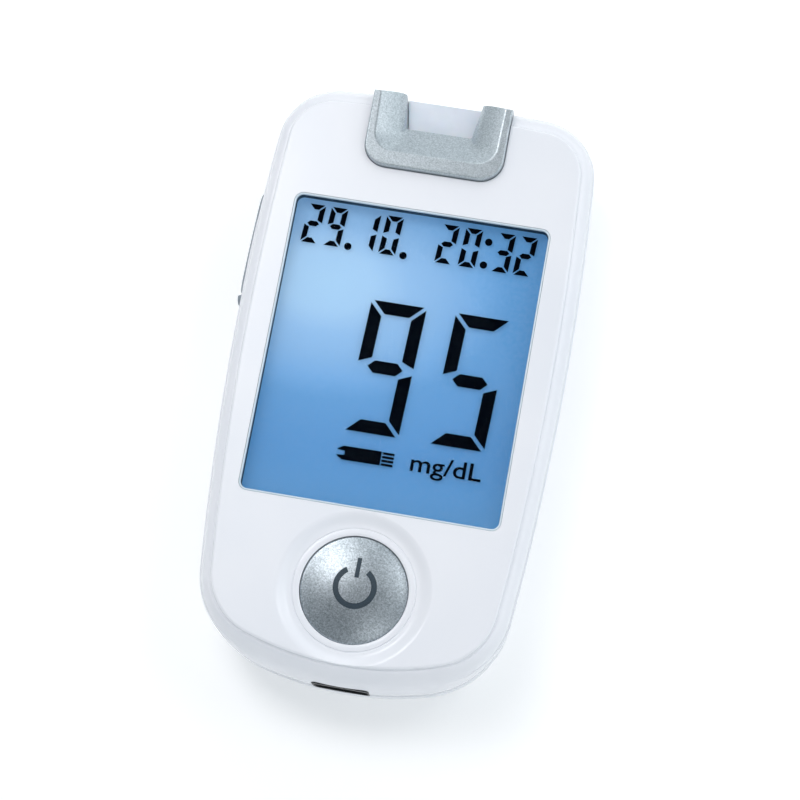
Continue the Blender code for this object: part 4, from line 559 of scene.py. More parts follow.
# A shrunk film, dark at one end and pale over the rest, with a soft sheen
cell_wrap, tree, surface, place = new_finish("printed_film_wrap")
parts = add_node(tree, "SeparateXYZ", {0: place})
band = add_node(tree, "MapRange", {0: (parts, "Y"), 1: -0.026, 2: 0.018})
print_bands = add_node(tree, "ValToRGB", {0: (band, 0)}, stops=(
    (0.0, "#3B4148"), (0.30, "#3B4148"), (0.305, "#C9CED3"), (0.97, "#C9CED3")))
grain = add_node(tree, "TexNoise", {"Vector": place, "Scale": 2500.0})
settle(surface, Base_Color=(print_bands, 0), Normal=relief(tree, 0.15, 0.01, (grain, 0)),
       Roughness=0.28)

# Drawn wire and strip, plated with nickel: fine dark and light streaks along the metal
nickel, tree, surface, place = new_finish("nickel_plated_spring_steel")
streak = add_node(tree, "Mapping", {"Vector": place, "Scale": (900.0, 7000.0, 7000.0)})
drawn = add_node(tree, "TexNoise", {"Vector": (streak, 0), "Scale": 1.0, "Detail": 3.0})
tone = add_node(tree, "ValToRGB", {0: (drawn, 0)}, stops=((0.3, "#A9A8A2"), (0.7, "#D6D4CC")))
settle(surface, Base_Color=(tone, 0), Normal=relief(tree, 0.2, 0.01, (drawn, 0)), Metallic=1.0,
       Roughness=0.3)


def turned_cell(name, x, nub_end):
    """A cell along Y: circles whose radius follows the can, its shoulder and its nub."""
    low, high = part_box(name)
    tip = (high.y if nub_end > 0 else low.y) / MM
    profile = [(0, 0), (NUB_RADIUS - NUB_EDGE, 0), (NUB_RADIUS, NUB_EDGE),
               (NUB_RADIUS, NUB_LENGTH)]
    profile += [(CELL_RADIUS - inset, NUB_LENGTH + down) for inset, down in CELL_SHOULDER]
    profile += [(CELL_RADIUS - inset, CELL_LENGTH - up) for inset, up in CELL_FOOT]
    profile.append((0, CELL_LENGTH))
    rings = [level(circle_plan(x, CELL_AXIS, radius, 72), tip - nub_end * down, "Y")
             for radius, down in profile]
    return shell(name + "_wrapped", rings)


for side, x, nub_end in (("left", -CELL_X, 1), ("right", CELL_X, -1)):
    node = "battery_cell_" + side
    dress(turned_cell(node, x, nub_end), cell_wrap, "cell_wrap", "case", node)


def refinish(finish, *names):
    """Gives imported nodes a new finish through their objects' material slots."""
    for name in names:
        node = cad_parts[name]
        node.material_slots[0].link = "OBJECT"
        node.material_slots[0].material = finish


refinish(nickel, "battery_spring_left", "battery_spring_right", "battery_contact_bridge",
         "battery_contact_positive", "battery_contact_negative", "clock_crystal")

# Battery door
# A flat white ABS plate with a round knuckle and two trunnions at its strip end, and a springy
# latch tab between two slits at the other. Cross ribs by the thumb scoop give the finger a hold.
DOOR_HALF_WIDTH = 12.2
DOOR_LOW_Y = -31.0
HINGE_Y = 23.2
HINGE_HEIGHT = 1.2
KNUCKLE_RADIUS = 1.1
DOOR_THICKNESS = 1.3
DOOR_END_Y = 23.45
DOOR_PLATE_CORNER = 0.7
# How far in and how high each step of the plate's edge lies
DOOR_EDGE = ((0.3, 0.0), (0.09, 0.06), (0.0, 0.25), (0.0, DOOR_THICKNESS))
GROOVE_START_Y = -22.0
GROOVE_PITCH = 1.3
GROOVE_COUNT = 7
GROOVE_HALF_LENGTH = 5.0
GROOVE_TAPER = 0.05
# Half width and height of each step of a groove
GROOVE_SECTION = ((0.45, -0.4), (0.42, 0.0), (0.30, 0.14), (0.12, 0.22))
SLIT_MIDDLE = 3.5
SLIT_HALF_WIDTH = 0.3
SLIT_CORNER = 0.29
SLIT_LENGTH = 6.0
TRUNNION_RADIUS = 0.5
TRUNNION_REACH = 13.5
HOOK_HALF_WIDTH = 2.9
HOOK_RUN = (0.3, 1.0)
HOOK_CORNER = 0.1
HOOK_RISE = (0.6, 2.3)

rings = [level(rounded_plan(DOOR_HALF_WIDTH - inset, DOOR_LOW_Y + inset, DOOR_END_Y - inset,
                            DOOR_PLATE_CORNER), height) for inset, height in DOOR_EDGE]
door = shell("battery_door_plate", rings)
changes = []
for number in range(GROOVE_COUNT):
    y = GROOVE_START_Y + number * GROOVE_PITCH
    half = GROOVE_HALF_LENGTH - GROOVE_TAPER * number
    rings = [level(rounded_plan(half + reach, y - reach, y + reach, reach, 6), height)
             for reach, height in GROOVE_SECTION]
    changes.append(("DIFFERENCE", shell("rib_groove_%d" % number, rings)))
slit = rounded_plan(SLIT_HALF_WIDTH, DOOR_LOW_Y - PAST, DOOR_LOW_Y + SLIT_LENGTH, SLIT_CORNER)
for side in (-1, 1):
    changes.append(("DIFFERENCE", prism("slit_%d" % (side + 1), slit + (side * SLIT_MIDDLE, 0),
                                        -PAST, DOOR_THICKNESS + PAST)))
for name, radius, reach, steps in (("knuckle", KNUCKLE_RADIUS, DOOR_HALF_WIDTH, 40),
                                   ("trunnions", TRUNNION_RADIUS, TRUNNION_REACH, 24)):
    bar = prism(name, circle_plan(HINGE_Y, HINGE_HEIGHT, radius, steps), -reach, reach, "X")
    changes.append(("UNION", bar))
hook = rounded_plan(HOOK_HALF_WIDTH, *(DOOR_LOW_Y + np.array(HOOK_RUN)), HOOK_CORNER)
changes.append(("UNION", prism("hook", hook, *HOOK_RISE)))
carve(door, *changes)
dress(door, white_satin, "white_case_plastic", "battery_door", "battery_door")

# Circuit board and what is soldered to it
# A 1 mm glass-fibre board under green solder mask, with black moulded chips, a small sounder, a
# metal clock crystal, tact switches and the black strip connector with its gilt spring contacts.


def textured(name, scale, tones, kind="TexNoise", detail=None, bump=None, ways=(), **sockets):
    """A finish whose colour follows one texture from stop to stop. The bump is a strength and a
    depth in millimetres, of the same texture. The ways are settings of the texture's node."""
    finish, tree, surface, place = new_finish(name)
    inputs = {"Vector": place, "Scale": scale}
    if detail:
        inputs["Detail"] = detail
    texture = add_node(tree, kind, inputs, **dict(ways))
    tone = add_node(tree, "ValToRGB", {0: (texture, 0)}, stops=tones)
    settle(surface, Base_Color=(tone, 0), **sockets)
    if bump:
        settle(surface, Normal=relief(tree, *bump, (texture, 0)))
    return finish


# Pale tracks about 2.4 mm apart show through a glassy dark green skin
board_mask = textured(
    "green_solder_mask_on_glass_fibre", 420.0,
    ((0.0, "#2F7A4A"), (0.06, "#2F7A4A"), (0.09, "#1D5C36"), (1.0, "#1D5C36")), "TexVoronoi",
    ways={"distance": "MANHATTAN", "feature": "DISTANCE_TO_EDGE"}, bump=(0.4, 0.03), Roughness=0.35)
# The tool's eroded skin: a fine grain that spreads every gleam
black_plastic = textured("spark_eroded_black_moulding", 6000.0,
                         ((0.3, "#141517"), (0.7, "#232528")), bump=(0.3, 0.01), Roughness=0.5)
# A thin bright wash of gold over rolled spring strip
gilt = textured("gold_flashed_phosphor_bronze", 5000.0, ((0.3, "#C79A45"), (0.7, "#E2BC6C")),
                Metallic=1.0, Roughness=0.25)

refinish(board_mask, "main_board")
refinish(black_plastic, "controller_chip", "memory_chip", "sounder", "power_switch",
         "power_switch_plunger", "rocker_switch_upper", "rocker_switch_lower",
         "strip_connector", "data_port_tongue")
refinish(gilt, "strip_contact_1", "strip_contact_2", "strip_contact_3")

# Display
# A reflector sheet lit blue from behind with a painted pool of light on it, a glass cell with dark
# liquid-crystal segments in it, a white holder, and a clear acrylic pane in a foam gasket under the
# face, its dark navy painted shade and painted blue light.
WINDOW_HALF_WIDTH = 20.8
WINDOW_LOW_Y = -20.9
WINDOW_HIGH_Y = 28.5
WINDOW_CORNER = 1.5
WINDOW_SHIFT = -0.08
PANE_LOW = 18.2
PANE_HIGH = 19.2
PANE_MARGIN = 1.0
PANE_EDGE = 0.1
PANEL_CORNER = 0.3
PANEL_EDGE = 0.05
PANEL_HALF_WIDTH = 21.7
PANEL_LOW_Y = -21.9
PANEL_HIGH_Y = 32.6
REFLECTOR_LOW = 16.1
REFLECTOR_HIGH = 17.2
CELL_GLASS_LOW = 17.24
CELL_GLASS_HIGH = 17.84
SEGMENT_LOW = 17.85
SEGMENT_HIGH = 17.9
FACE_HEIGHT = 21.0
BEAD_INSET = 0.03
BEAD_WIDTH = 0.34
BEAD_LOW = 20.5
BEAD_HIGH = 20.97
BEAD_ROUND = 0.13
ROUND_SHARE = 0.3
GASKET_INSET = 0.02
GASKET_HIGH = 20.55
GASKET_EDGE = 0.03

# A film lit from behind. A painted pool of light at the upper left deepens outwards in both its
# colour and its glow, it is paler towards the port end, and a fine veil lies over it
blue_sheet, tree, surface, place = new_finish("blue_backlit_film_painted_light_pool")
spot = add_node(tree, "Mapping", {"Vector": place, "Location": (0.0088, -0.0155, -0.0172),
                                  "Scale": (0.65, 1.0, 1.0)})
spread = add_node(tree, "VectorMath", {0: (spot, 0)}, operation="LENGTH")
share = add_node(tree, "MapRange", {0: (spread, "Value"), 1: 0.0, 2: 0.042})
painted_light_pool = add_node(tree, "ValToRGB", {0: (share, 0)}, stops=(
    (0.0, "#91B2CB"), (0.12, "#8EAFCA"), (0.21, "#7BA1C3"), (0.28, "#739BBF"), (0.38, "#6090BA"),
    (0.46, "#4C82AF"), (0.7, "#3F78A8"), (1.0, "#3C74A3")))
parts = add_node(tree, "SeparateXYZ", {0: place})
foot = add_node(tree, "MapRange", {0: (parts, "Y"), 1: -0.011, 2: -0.021, 3: 0.0, 4: 0.5})
tint = add_node(tree, "Mix", {0: (foot, 0), 6: (painted_light_pool, 0), 7: "#5189B4"}, data_type="RGBA")
fibre = add_node(tree, "TexNoise", {"Vector": place, "Scale": 1400.0, "Detail": 2.0})
veil = add_node(tree, "MapRange", {0: (fibre, 0), 3: 0.0, 4: 0.05})
cloudy = add_node(tree, "Mix", {0: (veil, 0), 6: (tint, 2), 7: "#FFFFFF"}, data_type="RGBA")
settle(surface, Base_Color=(cloudy, 2), Emission_Color=(cloudy, 2), Emission_Strength=0.65,
       Roughness=0.6, Specular_IOR_Level=0.2)


def clear_sheet(name, ior, tint):
    """A clear sheet that lamps shine through: light on its way to a lamp passes straight, the rest
    is bent and reflected by its polished faces."""
    finish, tree, surface, place = new_finish(name)
    haze = add_node(tree, "TexNoise", {"Vector": place, "Scale": 300.0, "Detail": 2.0})
    rough = add_node(tree, "MapRange", {0: (haze, 0), 3: 0.0, 4: 0.02})
    settle(surface, Base_Color=tint, Transmission_Weight=1.0, IOR=ior, Specular_Tint="#202020",
           Roughness=(rough, 0))
    ray = add_node(tree, "LightPath")
    lit = add_node(tree, "Math", {0: (ray, "Is Shadow Ray"), 1: (ray, "Is Diffuse Ray")},
                   operation="MAXIMUM")
    through = add_node(tree, "BsdfTransparent", {"Color": "#F6F9FC"})
    mixed = add_node(tree, "MixShader", {0: (lit, 0), 1: (surface, 0), 2: (through, 0)})
    tree.links.new(mixed.outputs[0], tree.nodes["Material Output"].inputs["Surface"])
    return finish


pane_acrylic = clear_sheet("polished_clear_acrylic", ior=1.49, tint="#FFFFFF")
cell_glass = clear_sheet("float_glass_cell", ior=1.52, tint="#FDFEFF")


def panel_slab(name, half_width, start, end, corner, low, high, edge):
    """A rounded slab whose upper edge is broken by a small quarter round."""
    rings = [level(rounded_plan(half_width, start, end, corner), low)]
    for inset, drop in quarter_round(edge, 4):
        rings.append(level(rounded_plan(half_width - inset, start + inset, end - inset, corner),
                           high - drop))
    return shell(name, rings)


for name, low, high, finish in (
        ("lcd_reflector", REFLECTOR_LOW, REFLECTOR_HIGH, blue_sheet),
        ("lcd_cell_glass", CELL_GLASS_LOW, CELL_GLASS_HIGH, cell_glass)):
    sheet = panel_slab(name, PANEL_HALF_WIDTH, PANEL_LOW_Y, PANEL_HIGH_Y, PANEL_CORNER, low, high,
                       PANEL_EDGE)
    dress(sheet, finish, "display_glass", "case", "lcd_panel")
pane = panel_slab("window_pane", WINDOW_HALF_WIDTH + PANE_MARGIN, WINDOW_LOW_Y - PANE_MARGIN,
                  WINDOW_HIGH_Y + PANE_MARGIN, WINDOW_CORNER + PANE_MARGIN, PANE_LOW, PANE_HIGH,
                  PANE_EDGE)
dress(pane, pane_acrylic, "clear_window", "case", "display_window")

# Open cells of 0.2 mm swallow the light. Their dark navy is painted: painted shade along the
# window's wall, and painted blue light from the display
foam = textured("die_cut_foam_painted_navy_shade", 5000.0, ((0.1, "#0A2A3E"), (0.8, "#103A54")), "TexVoronoi",
                bump=(0.3, 0.03), Roughness=0.55)
# A thin line round the window, of the case's white plastic painted blue-grey: painted shade and
# painted blue light from the display on the window's rounded edge
bead_painted_shade_plastic = textured("edge_bead_painted_blue_shade", 120.0, ((0.3, "#D3E1EA"), (0.7, "#DCE8F0")),
                        Roughness=0.22)


def window_ring(name, outer, inner, low, high, soft):
    """A frame round the window: the rings go down its outer wall, in below, up its inner wall, and
    back over its softened top."""
    rings = []
    part = soft * ROUND_SHARE
    for inset, height in ((outer + soft, high), (outer + part, high - part),
                          (outer, high - soft), (outer, low), (inner, low), (inner, high - soft),
                          (inner - part, high - part), (inner - soft, high)):
        rings.append(level(rounded_plan(WINDOW_HALF_WIDTH - inset, WINDOW_LOW_Y + inset,
                                        WINDOW_HIGH_Y - inset, WINDOW_CORNER - inset, 14)
                           + (WINDOW_SHIFT, 0), height))
    return shell(name, rings, joined=True)


bead = window_ring("window_edge_bead", BEAD_INSET, BEAD_WIDTH, BEAD_LOW, BEAD_HIGH, BEAD_ROUND)
dress(bead, bead_painted_shade_plastic, "white_case_plastic", "case")
gasket = window_ring("window_gasket", GASKET_INSET, BEAD_WIDTH + GASKET_INSET,
                     PANE_HIGH + 2 * CLEAR, GASKET_HIGH, GASKET_EDGE)
dress(gasket, foam, "carbon_rubber", "case")

# Digits are seven bars each, cut where they meet: a short date, the time, and one large reading
BARS = {"0": "abcdef", "1": "bc", "2": "abged", "3": "abgcd", "5": "afgcd", "9": "abcdfg"}
# Base line, then width, height, stroke, gap, lean and hook share of a figure
LARGE_FIGURES = (-8.25, (8.95, 21.6, 2.05, 0.62, 0.036, 0.8))
SMALL_FIGURES = (21.1, (2.75, 6.5, 0.84, 0.26, 0.06, 0.5))
LARGE_PLACES = (("9", -6.62), ("5", 7.05))
SMALL_PLACES = (("2", -19.1), ("9", -15.4), ("1", -10.0), ("0", -6.3),
                ("2", 2.85), ("0", 6.65), ("3", 12.0), ("2", 15.55))
DOT_PLACES = ((-11.3, 21.45), (-2.25, 21.35), (10.95, 25.75), (10.75, 21.87))
DOT_RADIUS = 0.6
CUT_SHARE = 0.7
FOOT_SHARE = 0.28
# The strip icon: a bar with a notched nose at the left, and four contact lines at its right
STRIP_ICON = ((-5.9, -10.85), (0.2, -10.8), (0.2, -13.05), (-5.9, -13.1), (-6.8, -12.55),
              (-6.8, -12.4), (-5.6, -12.3), (-5.6, -11.65), (-6.8, -11.55), (-6.8, -11.4))
ICON_LINES = (-11.05, -11.65, -12.25, -12.85)
ICON_LINE_RUN = (0.35, 2.25)
ICON_LINE_HALF = 0.19


def digit_bars(figure, x, y, width, height, stroke, gap, lean, hook_share):
    """The lit bars of one figure, each a polygon. A bar's ends run at 45 degrees, and the whole
    figure leans: a point moves right by its height times the lean."""
    middle = height / 2
    cut = CUT_SHARE * gap
    hook = hook_share * stroke
    across = np.array([(cut, height), (width - cut, height),
                       (width - stroke - cut, height - stroke), (stroke + cut, height - stroke)])
    upright = np.array([(0, height - cut), (stroke, height - stroke - cut),
                        (stroke, middle + (1 - FOOT_SHARE) * stroke),
                        (0, middle + FOOT_SHARE * stroke)])
    crossbar = np.array([(hook, middle), (hook + stroke / 2, middle + stroke / 2),
                         (width - hook - stroke / 2, middle + stroke / 2), (width - hook, middle),
                         (width - hook - stroke / 2, middle - stroke / 2),
                         (hook + stroke / 2, middle - stroke / 2)])
    mirror = np.array((-1, 1))
    flipped = np.array((1, -1))
    bars = {"a": across, "f": upright, "g": crossbar,
            "d": across * flipped + (0, height), "b": upright * mirror + (width, 0),
            "e": upright * flipped + (0, height),
            "c": upright * (-1, -1) + (width, height)}
    plans = []
    for bar in BARS[figure]:
        plan = bars[bar]
        plans.append(np.stack((x + plan[:, 0] + lean * plan[:, 1], y + plan[:, 1]), axis=1))
    return plans


def plates(name, plans, low, high):
    """Flat plates of one thickness, each with its plan, as one object."""
    points, faces = [], []
    for plan in plans:
        area = np.sum(plan[:, 0] * np.roll(plan[:, 1], -1) - np.roll(plan[:, 0], -1) * plan[:, 1])
        plan = plan if area > 0 else plan[::-1]
        start, count = sum(map(len, points)), len(plan)
        points += [level(plan, low), level(plan, high)]
        lower = start + np.arange(count)
        upper = lower + count
        sides = np.stack((lower, np.roll(lower, -1), np.roll(upper, -1), upper), axis=1)
        faces += sides.tolist() + [lower[::-1].tolist(), upper.tolist()]
    mesh = bpy.data.meshes.new(name)
    mesh.from_pydata((np.concatenate(points) * MM).tolist(), [], faces)
    return new_object(name, mesh)


plans = []
for (base, figure_sizes), places in ((LARGE_FIGURES, LARGE_PLACES), (SMALL_FIGURES, SMALL_PLACES)):
    for figure, x in places:
        plans += digit_bars(figure, x, base, *figure_sizes)
plans += [circle_plan(x, y, DOT_RADIUS, 28) for x, y in DOT_PLACES]
plans.append(np.array(STRIP_ICON))
start, end = ICON_LINE_RUN
for y in ICON_LINES:
    upper, lower = y + ICON_LINE_HALF, y - ICON_LINE_HALF
    plans.append(np.array([(start, upper), (end, upper), (end, lower), (start, lower)]))
segments = plates("lcd_segments", plans, SEGMENT_LOW, SEGMENT_HIGH)

# Crystals turned to stop the light: a flat near-black with no gleam of its own
dark_crystal = textured("dark_liquid_crystal", 900.0, ((0.3, "#02040A"), (0.7, "#050A12")),
                        Roughness=0.8, Specular_IOR_Level=0.0)
dress(segments, dark_crystal, "display_glass", "case", "lcd_panel")

UNIT_LEFT = 5.0
UNIT_RIGHT = 16.25
UNIT_BASE = -13.05
UNIT_CAPITAL = 2.75
UNIT_HALF_THICKNESS = 0.02
UNIT_WEIGHT = 0.009

letters = bpy.data.curves.new("unit_letters", "FONT")
letters.body = "mg/dL"
letters.extrude = UNIT_HALF_THICKNESS
letters.offset = UNIT_WEIGHT
letters_object = new_object("unit_letters", letters)
bpy.context.view_layer.update()
drawn = letters_object.evaluated_get(bpy.context.evaluated_depsgraph_get())
unit_mesh = bpy.data.meshes.new_from_object(drawn)
bpy.data.objects.remove(letters_object)
spots = np.empty(len(unit_mesh.vertices) * 3)
unit_mesh.vertices.foreach_get("co", spots)
spots = spots.reshape(-1, 3)
left, right = spots[:, 0].min(), spots[:, 0].max()
capital = spots[:, 1].max()
spots[:, 0] = UNIT_LEFT + (spots[:, 0] - left) / (right - left) * (UNIT_RIGHT - UNIT_LEFT)
spots[:, 1] = UNIT_BASE + spots[:, 1] / capital * UNIT_CAPITAL
spots[:, 2] = (SEGMENT_LOW + SEGMENT_HIGH) / 2 + spots[:, 2]
unit_mesh.vertices.foreach_set("co", (spots * MM).ravel())
unit_mesh.update()
dress(new_object("lcd_unit", unit_mesh), dark_crystal, "display_glass", "case", "lcd_panel")

# Moulded with a diffusing powder: light sinks in a little and comes out soft
milky = textured("milky_polycarbonate", 260.0, ((0.3, "#DDE4EE"), (0.7, "#E6ECF5")), detail=3.0,
                 Subsurface_Weight=0.15, Subsurface_Scale=MM, Roughness=0.3)
# Conducting and insulating layers in turn: dull dark stripes, drawn coarser than they are
rubber = textured("layered_carbon_rubber", 900.0, ((0.4, "#1B1C1E"), (0.6, "#4A3A34")), "TexWave",
                  ways={"bands_direction": "X"}, Roughness=0.7)
# Phosphor set in resin: a pale yellow, a little cloudy
lamp_body = textured("yellow_phosphor_lamp_package", 1500.0, ((0.4, "#E8E4C8"), (0.6, "#F2EFD9")),
                     Roughness=0.4)
refinish(white_satin, "lcd_holder")
refinish(milky, "backlight_guide")
refinish(lamp_body, "backlight_led_left", "backlight_led_right")
refinish(rubber, "lcd_connector_strip")

# Front cover
# The glossy white upper half, moulded in ABS. A raised face with a small stepped crest sits on a
# rounded, sloping band. Window, button dish and strip-port notch are moulded into the face.
PARTING_HEIGHT = 10.0
SEAM_STEP = 0.25
LIP_HEIGHT = 17.4
LIP_STEP = 0.25
LIP_ROUND = 0.2
LIP_SHARE = 0.8
LIP_GROOVE = 0.02
SEAM_EDGE = 0.15
SEAM_MIDDLE = 0.044
INNER_LIFT = 0.2
BAND_FEET = np.array((16.5, LIP_HEIGHT, 11.5))
FOOT_INSETS = np.array((0.8, 0.35, 0.7))
CREST = 20.2
CREST_ROUND = 0.5
CREST_LEDGE = 0.35
CREST_INSETS = np.array((3.8, 2.3, 3.8))
BAND_ANGLE = math.radians(70)
FACE_UNDERSIDE = 19.5
TONGUE_BOTTOM = 8.8
TONGUE_INSET = 0.8
TONGUE_EDGE = 0.1
CREST_FILLET = 0.12
WINDOW_EDGE = 0.06
NOTCH_EDGE = 0.12
FACE_CLEAR = 0.004
BUTTON_Y = -33.4
DISH_RADIUS = 12.4
DISH_SLOPE = 2.35
DISH_DEPTH = 0.8
HOLE_RADIUS = 8.5
# Radius and height of the crease, and of the raised ring from its foot to the hole's edge
DISH_RING = ((9.95, 20.205), (9.74, 20.18), (9.68, 20.08), (9.58, 20.08), (9.52, 20.22),
             (9.35, 20.25), (9.0, 20.27), (8.7, 20.25), (8.58, 20.2), (HOLE_RADIUS, 20.12))
COLLAR_RADIUS = 10.3
COLLAR_RUN = (18.5, 20.0)
BEZEL_HALF_WIDTH = 11.3
BEZEL_START_Y = 34.7
BEZEL_CORNER = 3.8
BEZEL_BOTTOM = 16.2
BEZEL_TOP = 22.2
BEZEL_GAP = 0.08
BEZEL_END_Y = 58.0


def band_level(height, extra=0.0, lip=0.0, crest=CREST, crest_insets=CREST_INSETS):
    """One level of the case's side. Strip end, sides and port end each have a band that starts at
    a foot of its own: below the foot the side tapers straight down to the seam, and above it runs
    an ellipse that stands upright there, whose inset grows with 1 - cos(angle), where sin(angle) is
    the share of the height times the sine of 70 degrees. The extra draws all of it in, and the lip
    lets the sides out."""
    share = np.clip((height - BAND_FEET) / (crest - BAND_FEET), 0, 1)
    along = (1 - np.cos(np.arcsin(share * math.sin(BAND_ANGLE)))) / (1 - math.cos(BAND_ANGLE))
    below = np.clip((BAND_FEET - height) / (BAND_FEET - PARTING_HEIGHT), 0, 1)
    insets = FOOT_INSETS + along * (np.array(crest_insets) - CREST_LEDGE - FOOT_INSETS)
    insets += below * (RIM_INSETS + SEAM_STEP + (0, LIP_STEP, 0) - FOOT_INSETS) + extra
    low_share = np.clip((LIP_HEIGHT - height) / (LIP_HEIGHT - PARTING_HEIGHT), 0, 1)
    growth = LOW_CORNER_GROWTH * low_share
    return level(case_outline(*(insets - (0, lip, 0)), growth), height)


rings = [band_level(height, WALL, LIP_STEP)
         for height in np.linspace(FACE_UNDERSIDE, PARTING_HEIGHT + INNER_LIFT, 12)]
for inset, height in ((SEAM_STEP + WALL, TONGUE_BOTTOM),
                      (TONGUE_INSET + TONGUE_EDGE, TONGUE_BOTTOM),
                      (TONGUE_INSET, TONGUE_BOTTOM + TONGUE_EDGE), (TONGUE_INSET, PARTING_HEIGHT),
                      (SEAM_STEP + SEAM_EDGE, PARTING_HEIGHT),
                      (SEAM_STEP + SEAM_MIDDLE, PARTING_HEIGHT + SEAM_MIDDLE)):
    rings.append(rim_level(inset, height))
for height in np.linspace(PARTING_HEIGHT + SEAM_EDGE, LIP_HEIGHT - LIP_STEP, 16):
    rings.append(band_level(height, 0.0, LIP_STEP))
for angle in np.linspace(0, math.pi / 2, 6):
    rings.append(band_level(LIP_HEIGHT - LIP_ROUND * (1 - math.sin(angle)), 0.0,
                            LIP_STEP * (1 - LIP_SHARE * (1 - math.cos(angle)))))
rings += [band_level(height) for height in np.linspace(LIP_HEIGHT + LIP_GROOVE, CREST, 24)]
for rise, spread in quarter_round(CREST_FILLET, 5):
    rings.append(level(case_outline(*(CREST_INSETS - spread)), CREST + rise))
for inset, drop in quarter_round(CREST_ROUND, 10):
    rings.append(level(case_outline(*(CREST_INSETS + inset)), FACE_HEIGHT - drop))
front_cover = shell("front_cover_shell", rings)


def rod(name, radius, low, high, x, y, steps):
    """A turned body with straight sides."""
    return lathe(name, [(0, low), (radius, low), (radius, high), (0, high)], x, y, steps)


def flared_opening(name, half_width, start, end, corner, low, edge, shift):
    """A straight opening whose upper rim turns out by a quarter round, on to above the face."""
    stack = [(0, low)]
    stack += [(out, FACE_HEIGHT + FACE_CLEAR - drop) for out, drop in quarter_round(edge, 7)]
    stack.append((edge, FACE_HEIGHT + PAST))
    return shell(name, [
        level(rounded_plan(half_width + out, start - out, end + out, corner + out, 14) + (shift, 0),
              height) for out, height in stack])


window_cut = flared_opening("window_cut", WINDOW_HALF_WIDTH, WINDOW_LOW_Y, WINDOW_HIGH_Y,
                            WINDOW_CORNER, FACE_UNDERSIDE - PAST, WINDOW_EDGE, WINDOW_SHIFT)
notch_cut = flared_opening("notch_cut", BEZEL_HALF_WIDTH + BEZEL_GAP, BEZEL_START_Y - BEZEL_GAP,
                           BEZEL_END_Y, BEZEL_CORNER + BEZEL_GAP, BEZEL_BOTTOM - GAP, NOTCH_EDGE, 0)
# The dish: a soft shoulder, a slope, a fine crease, and a raised ring round the button's hole
profile = [(0, FACE_HEIGHT + PAST), (DISH_RADIUS, FACE_HEIGHT + PAST)]
profile += [(DISH_RADIUS - DISH_SLOPE * share,
             FACE_HEIGHT + FACE_CLEAR - DISH_DEPTH * (1 - math.cos(math.pi * share)) / 2)
            for share in np.linspace(0, 1, 17)]
profile += [*DISH_RING, (HOLE_RADIUS, FACE_UNDERSIDE - PAST), (0, FACE_UNDERSIDE - PAST)]
dish_cut = lathe("dish_cut", profile, 0, BUTTON_Y, 144)
collar = rod("button_collar", COLLAR_RADIUS, *COLLAR_RUN, 0, BUTTON_Y, 96)
carve(front_cover, ("UNION", collar), ("DIFFERENCE", window_cut), ("DIFFERENCE", notch_cut),
      ("DIFFERENCE", dish_cut), ("DIFFERENCE", rocker_opening("rocker_slot_high")),
      ("DIFFERENCE", port_opening("port_mouth_high")))
dress(front_cover, white_gloss, "white_case_plastic", "case", "front_cover")

# Power button
# A domed cap sprayed with silver metallic lacquer, whose coarse flakes catch the light one by one.
# The on-off sign is pad-printed in slate ink. The cap slides in the hole and presses a tact switch.
BUTTON_RADIUS = 8.43
BUTTON_RIM = 19.95
BUTTON_DOME = 1.15
RIM_SOFTENING = 0.3
RIM_START_SHARE = 0.12
CLUMP_SHARE = 0.6
# Below the rim: the skirt, a flange that holds the cap in, and the hollow round its stem
CAP_INSIDE = ((BUTTON_RADIUS, 18.2), (9.6, 18.2), (9.6, 17.2), (7.4, 17.2), (7.4, 19.0),
              (1.6, 19.0), (1.6, 17.5), (0, 17.5))
SIGN_PLACE = (0.15, -33.0)
SIGN_RING = 2.99
SIGN_STROKE = 0.88
SIGN_GAP = math.radians(32.5)
BAR_HALF_WIDTH = 0.34
BAR_RUN = (1.46, 4.62)
INK = 0.02


def dome_height(radius):
    """The dome falls with the square of the distance from its middle."""
    return BUTTON_RIM + BUTTON_DOME * (1 - (radius / (BUTTON_RADIUS - RIM_SOFTENING)) ** 2)


def silver_lacquer(name, dark, light, flake, spread, metal, rough):
    """Silver lacquer: aluminium flakes of about 0.2 mm, each tilted a little its own way, in a
    clear binder. The flakes are drawn coarser than they are, so that they show."""
    finish, tree, surface, place = new_finish(name)
    flakes = add_node(tree, "TexVoronoi", {"Vector": place, "Scale": 1 / (flake * MM)})
    parts = add_node(tree, "SeparateColor", {0: (flakes, "Color")})
    clumps = add_node(tree, "TexNoise", {"Vector": place, "Scale": CLUMP_SHARE / (flake * MM),
                                         "Detail": 1.0})
    both = add_node(tree, "Math", {0: (parts, 0), 1: (clumps, 0)}, operation="ADD")
    share = add_node(tree, "MapRange", {0: (both, 0), 1: 0.2, 2: 1.8})
    tone = add_node(tree, "ValToRGB", {0: (share, 0)}, stops=((0.0, dark), (1.0, light)))
    settle(surface, Base_Color=(tone, 0), Normal=relief(tree, spread, 0.03, (both, 0)),
           Metallic=metal, Roughness=rough)
    return finish


# The button's flakes stand out one by one, and the bezel's lie finer and paler
silver = silver_lacquer("sprayed_silver_lacquer_coarse", "#8D989F", "#DCE4EA", flake=0.17,
                        spread=0.3, metal=0.95, rough=0.36)
silver_fine = silver_lacquer("sprayed_silver_lacquer_fine", "#9CA7AD", "#D2DADF", flake=0.16,
                             spread=0.25, metal=0.85, rough=0.36)

profile = [(radius, dome_height(radius))
           for radius in np.linspace(0, BUTTON_RADIUS - RIM_SOFTENING, 26)]
for angle in np.linspace(RIM_START_SHARE, 1, 7) * math.pi / 2:
    profile.append((BUTTON_RADIUS - RIM_SOFTENING * (1 - math.sin(angle)),
                    BUTTON_RIM - RIM_SOFTENING * (1 - math.cos(angle))))
button = lathe("power_button_cap", [*profile, *CAP_INSIDE], 0, BUTTON_Y, 144)
dress(button, silver, "silver_painted_plastic", "power_button", "power_button", crease=40)


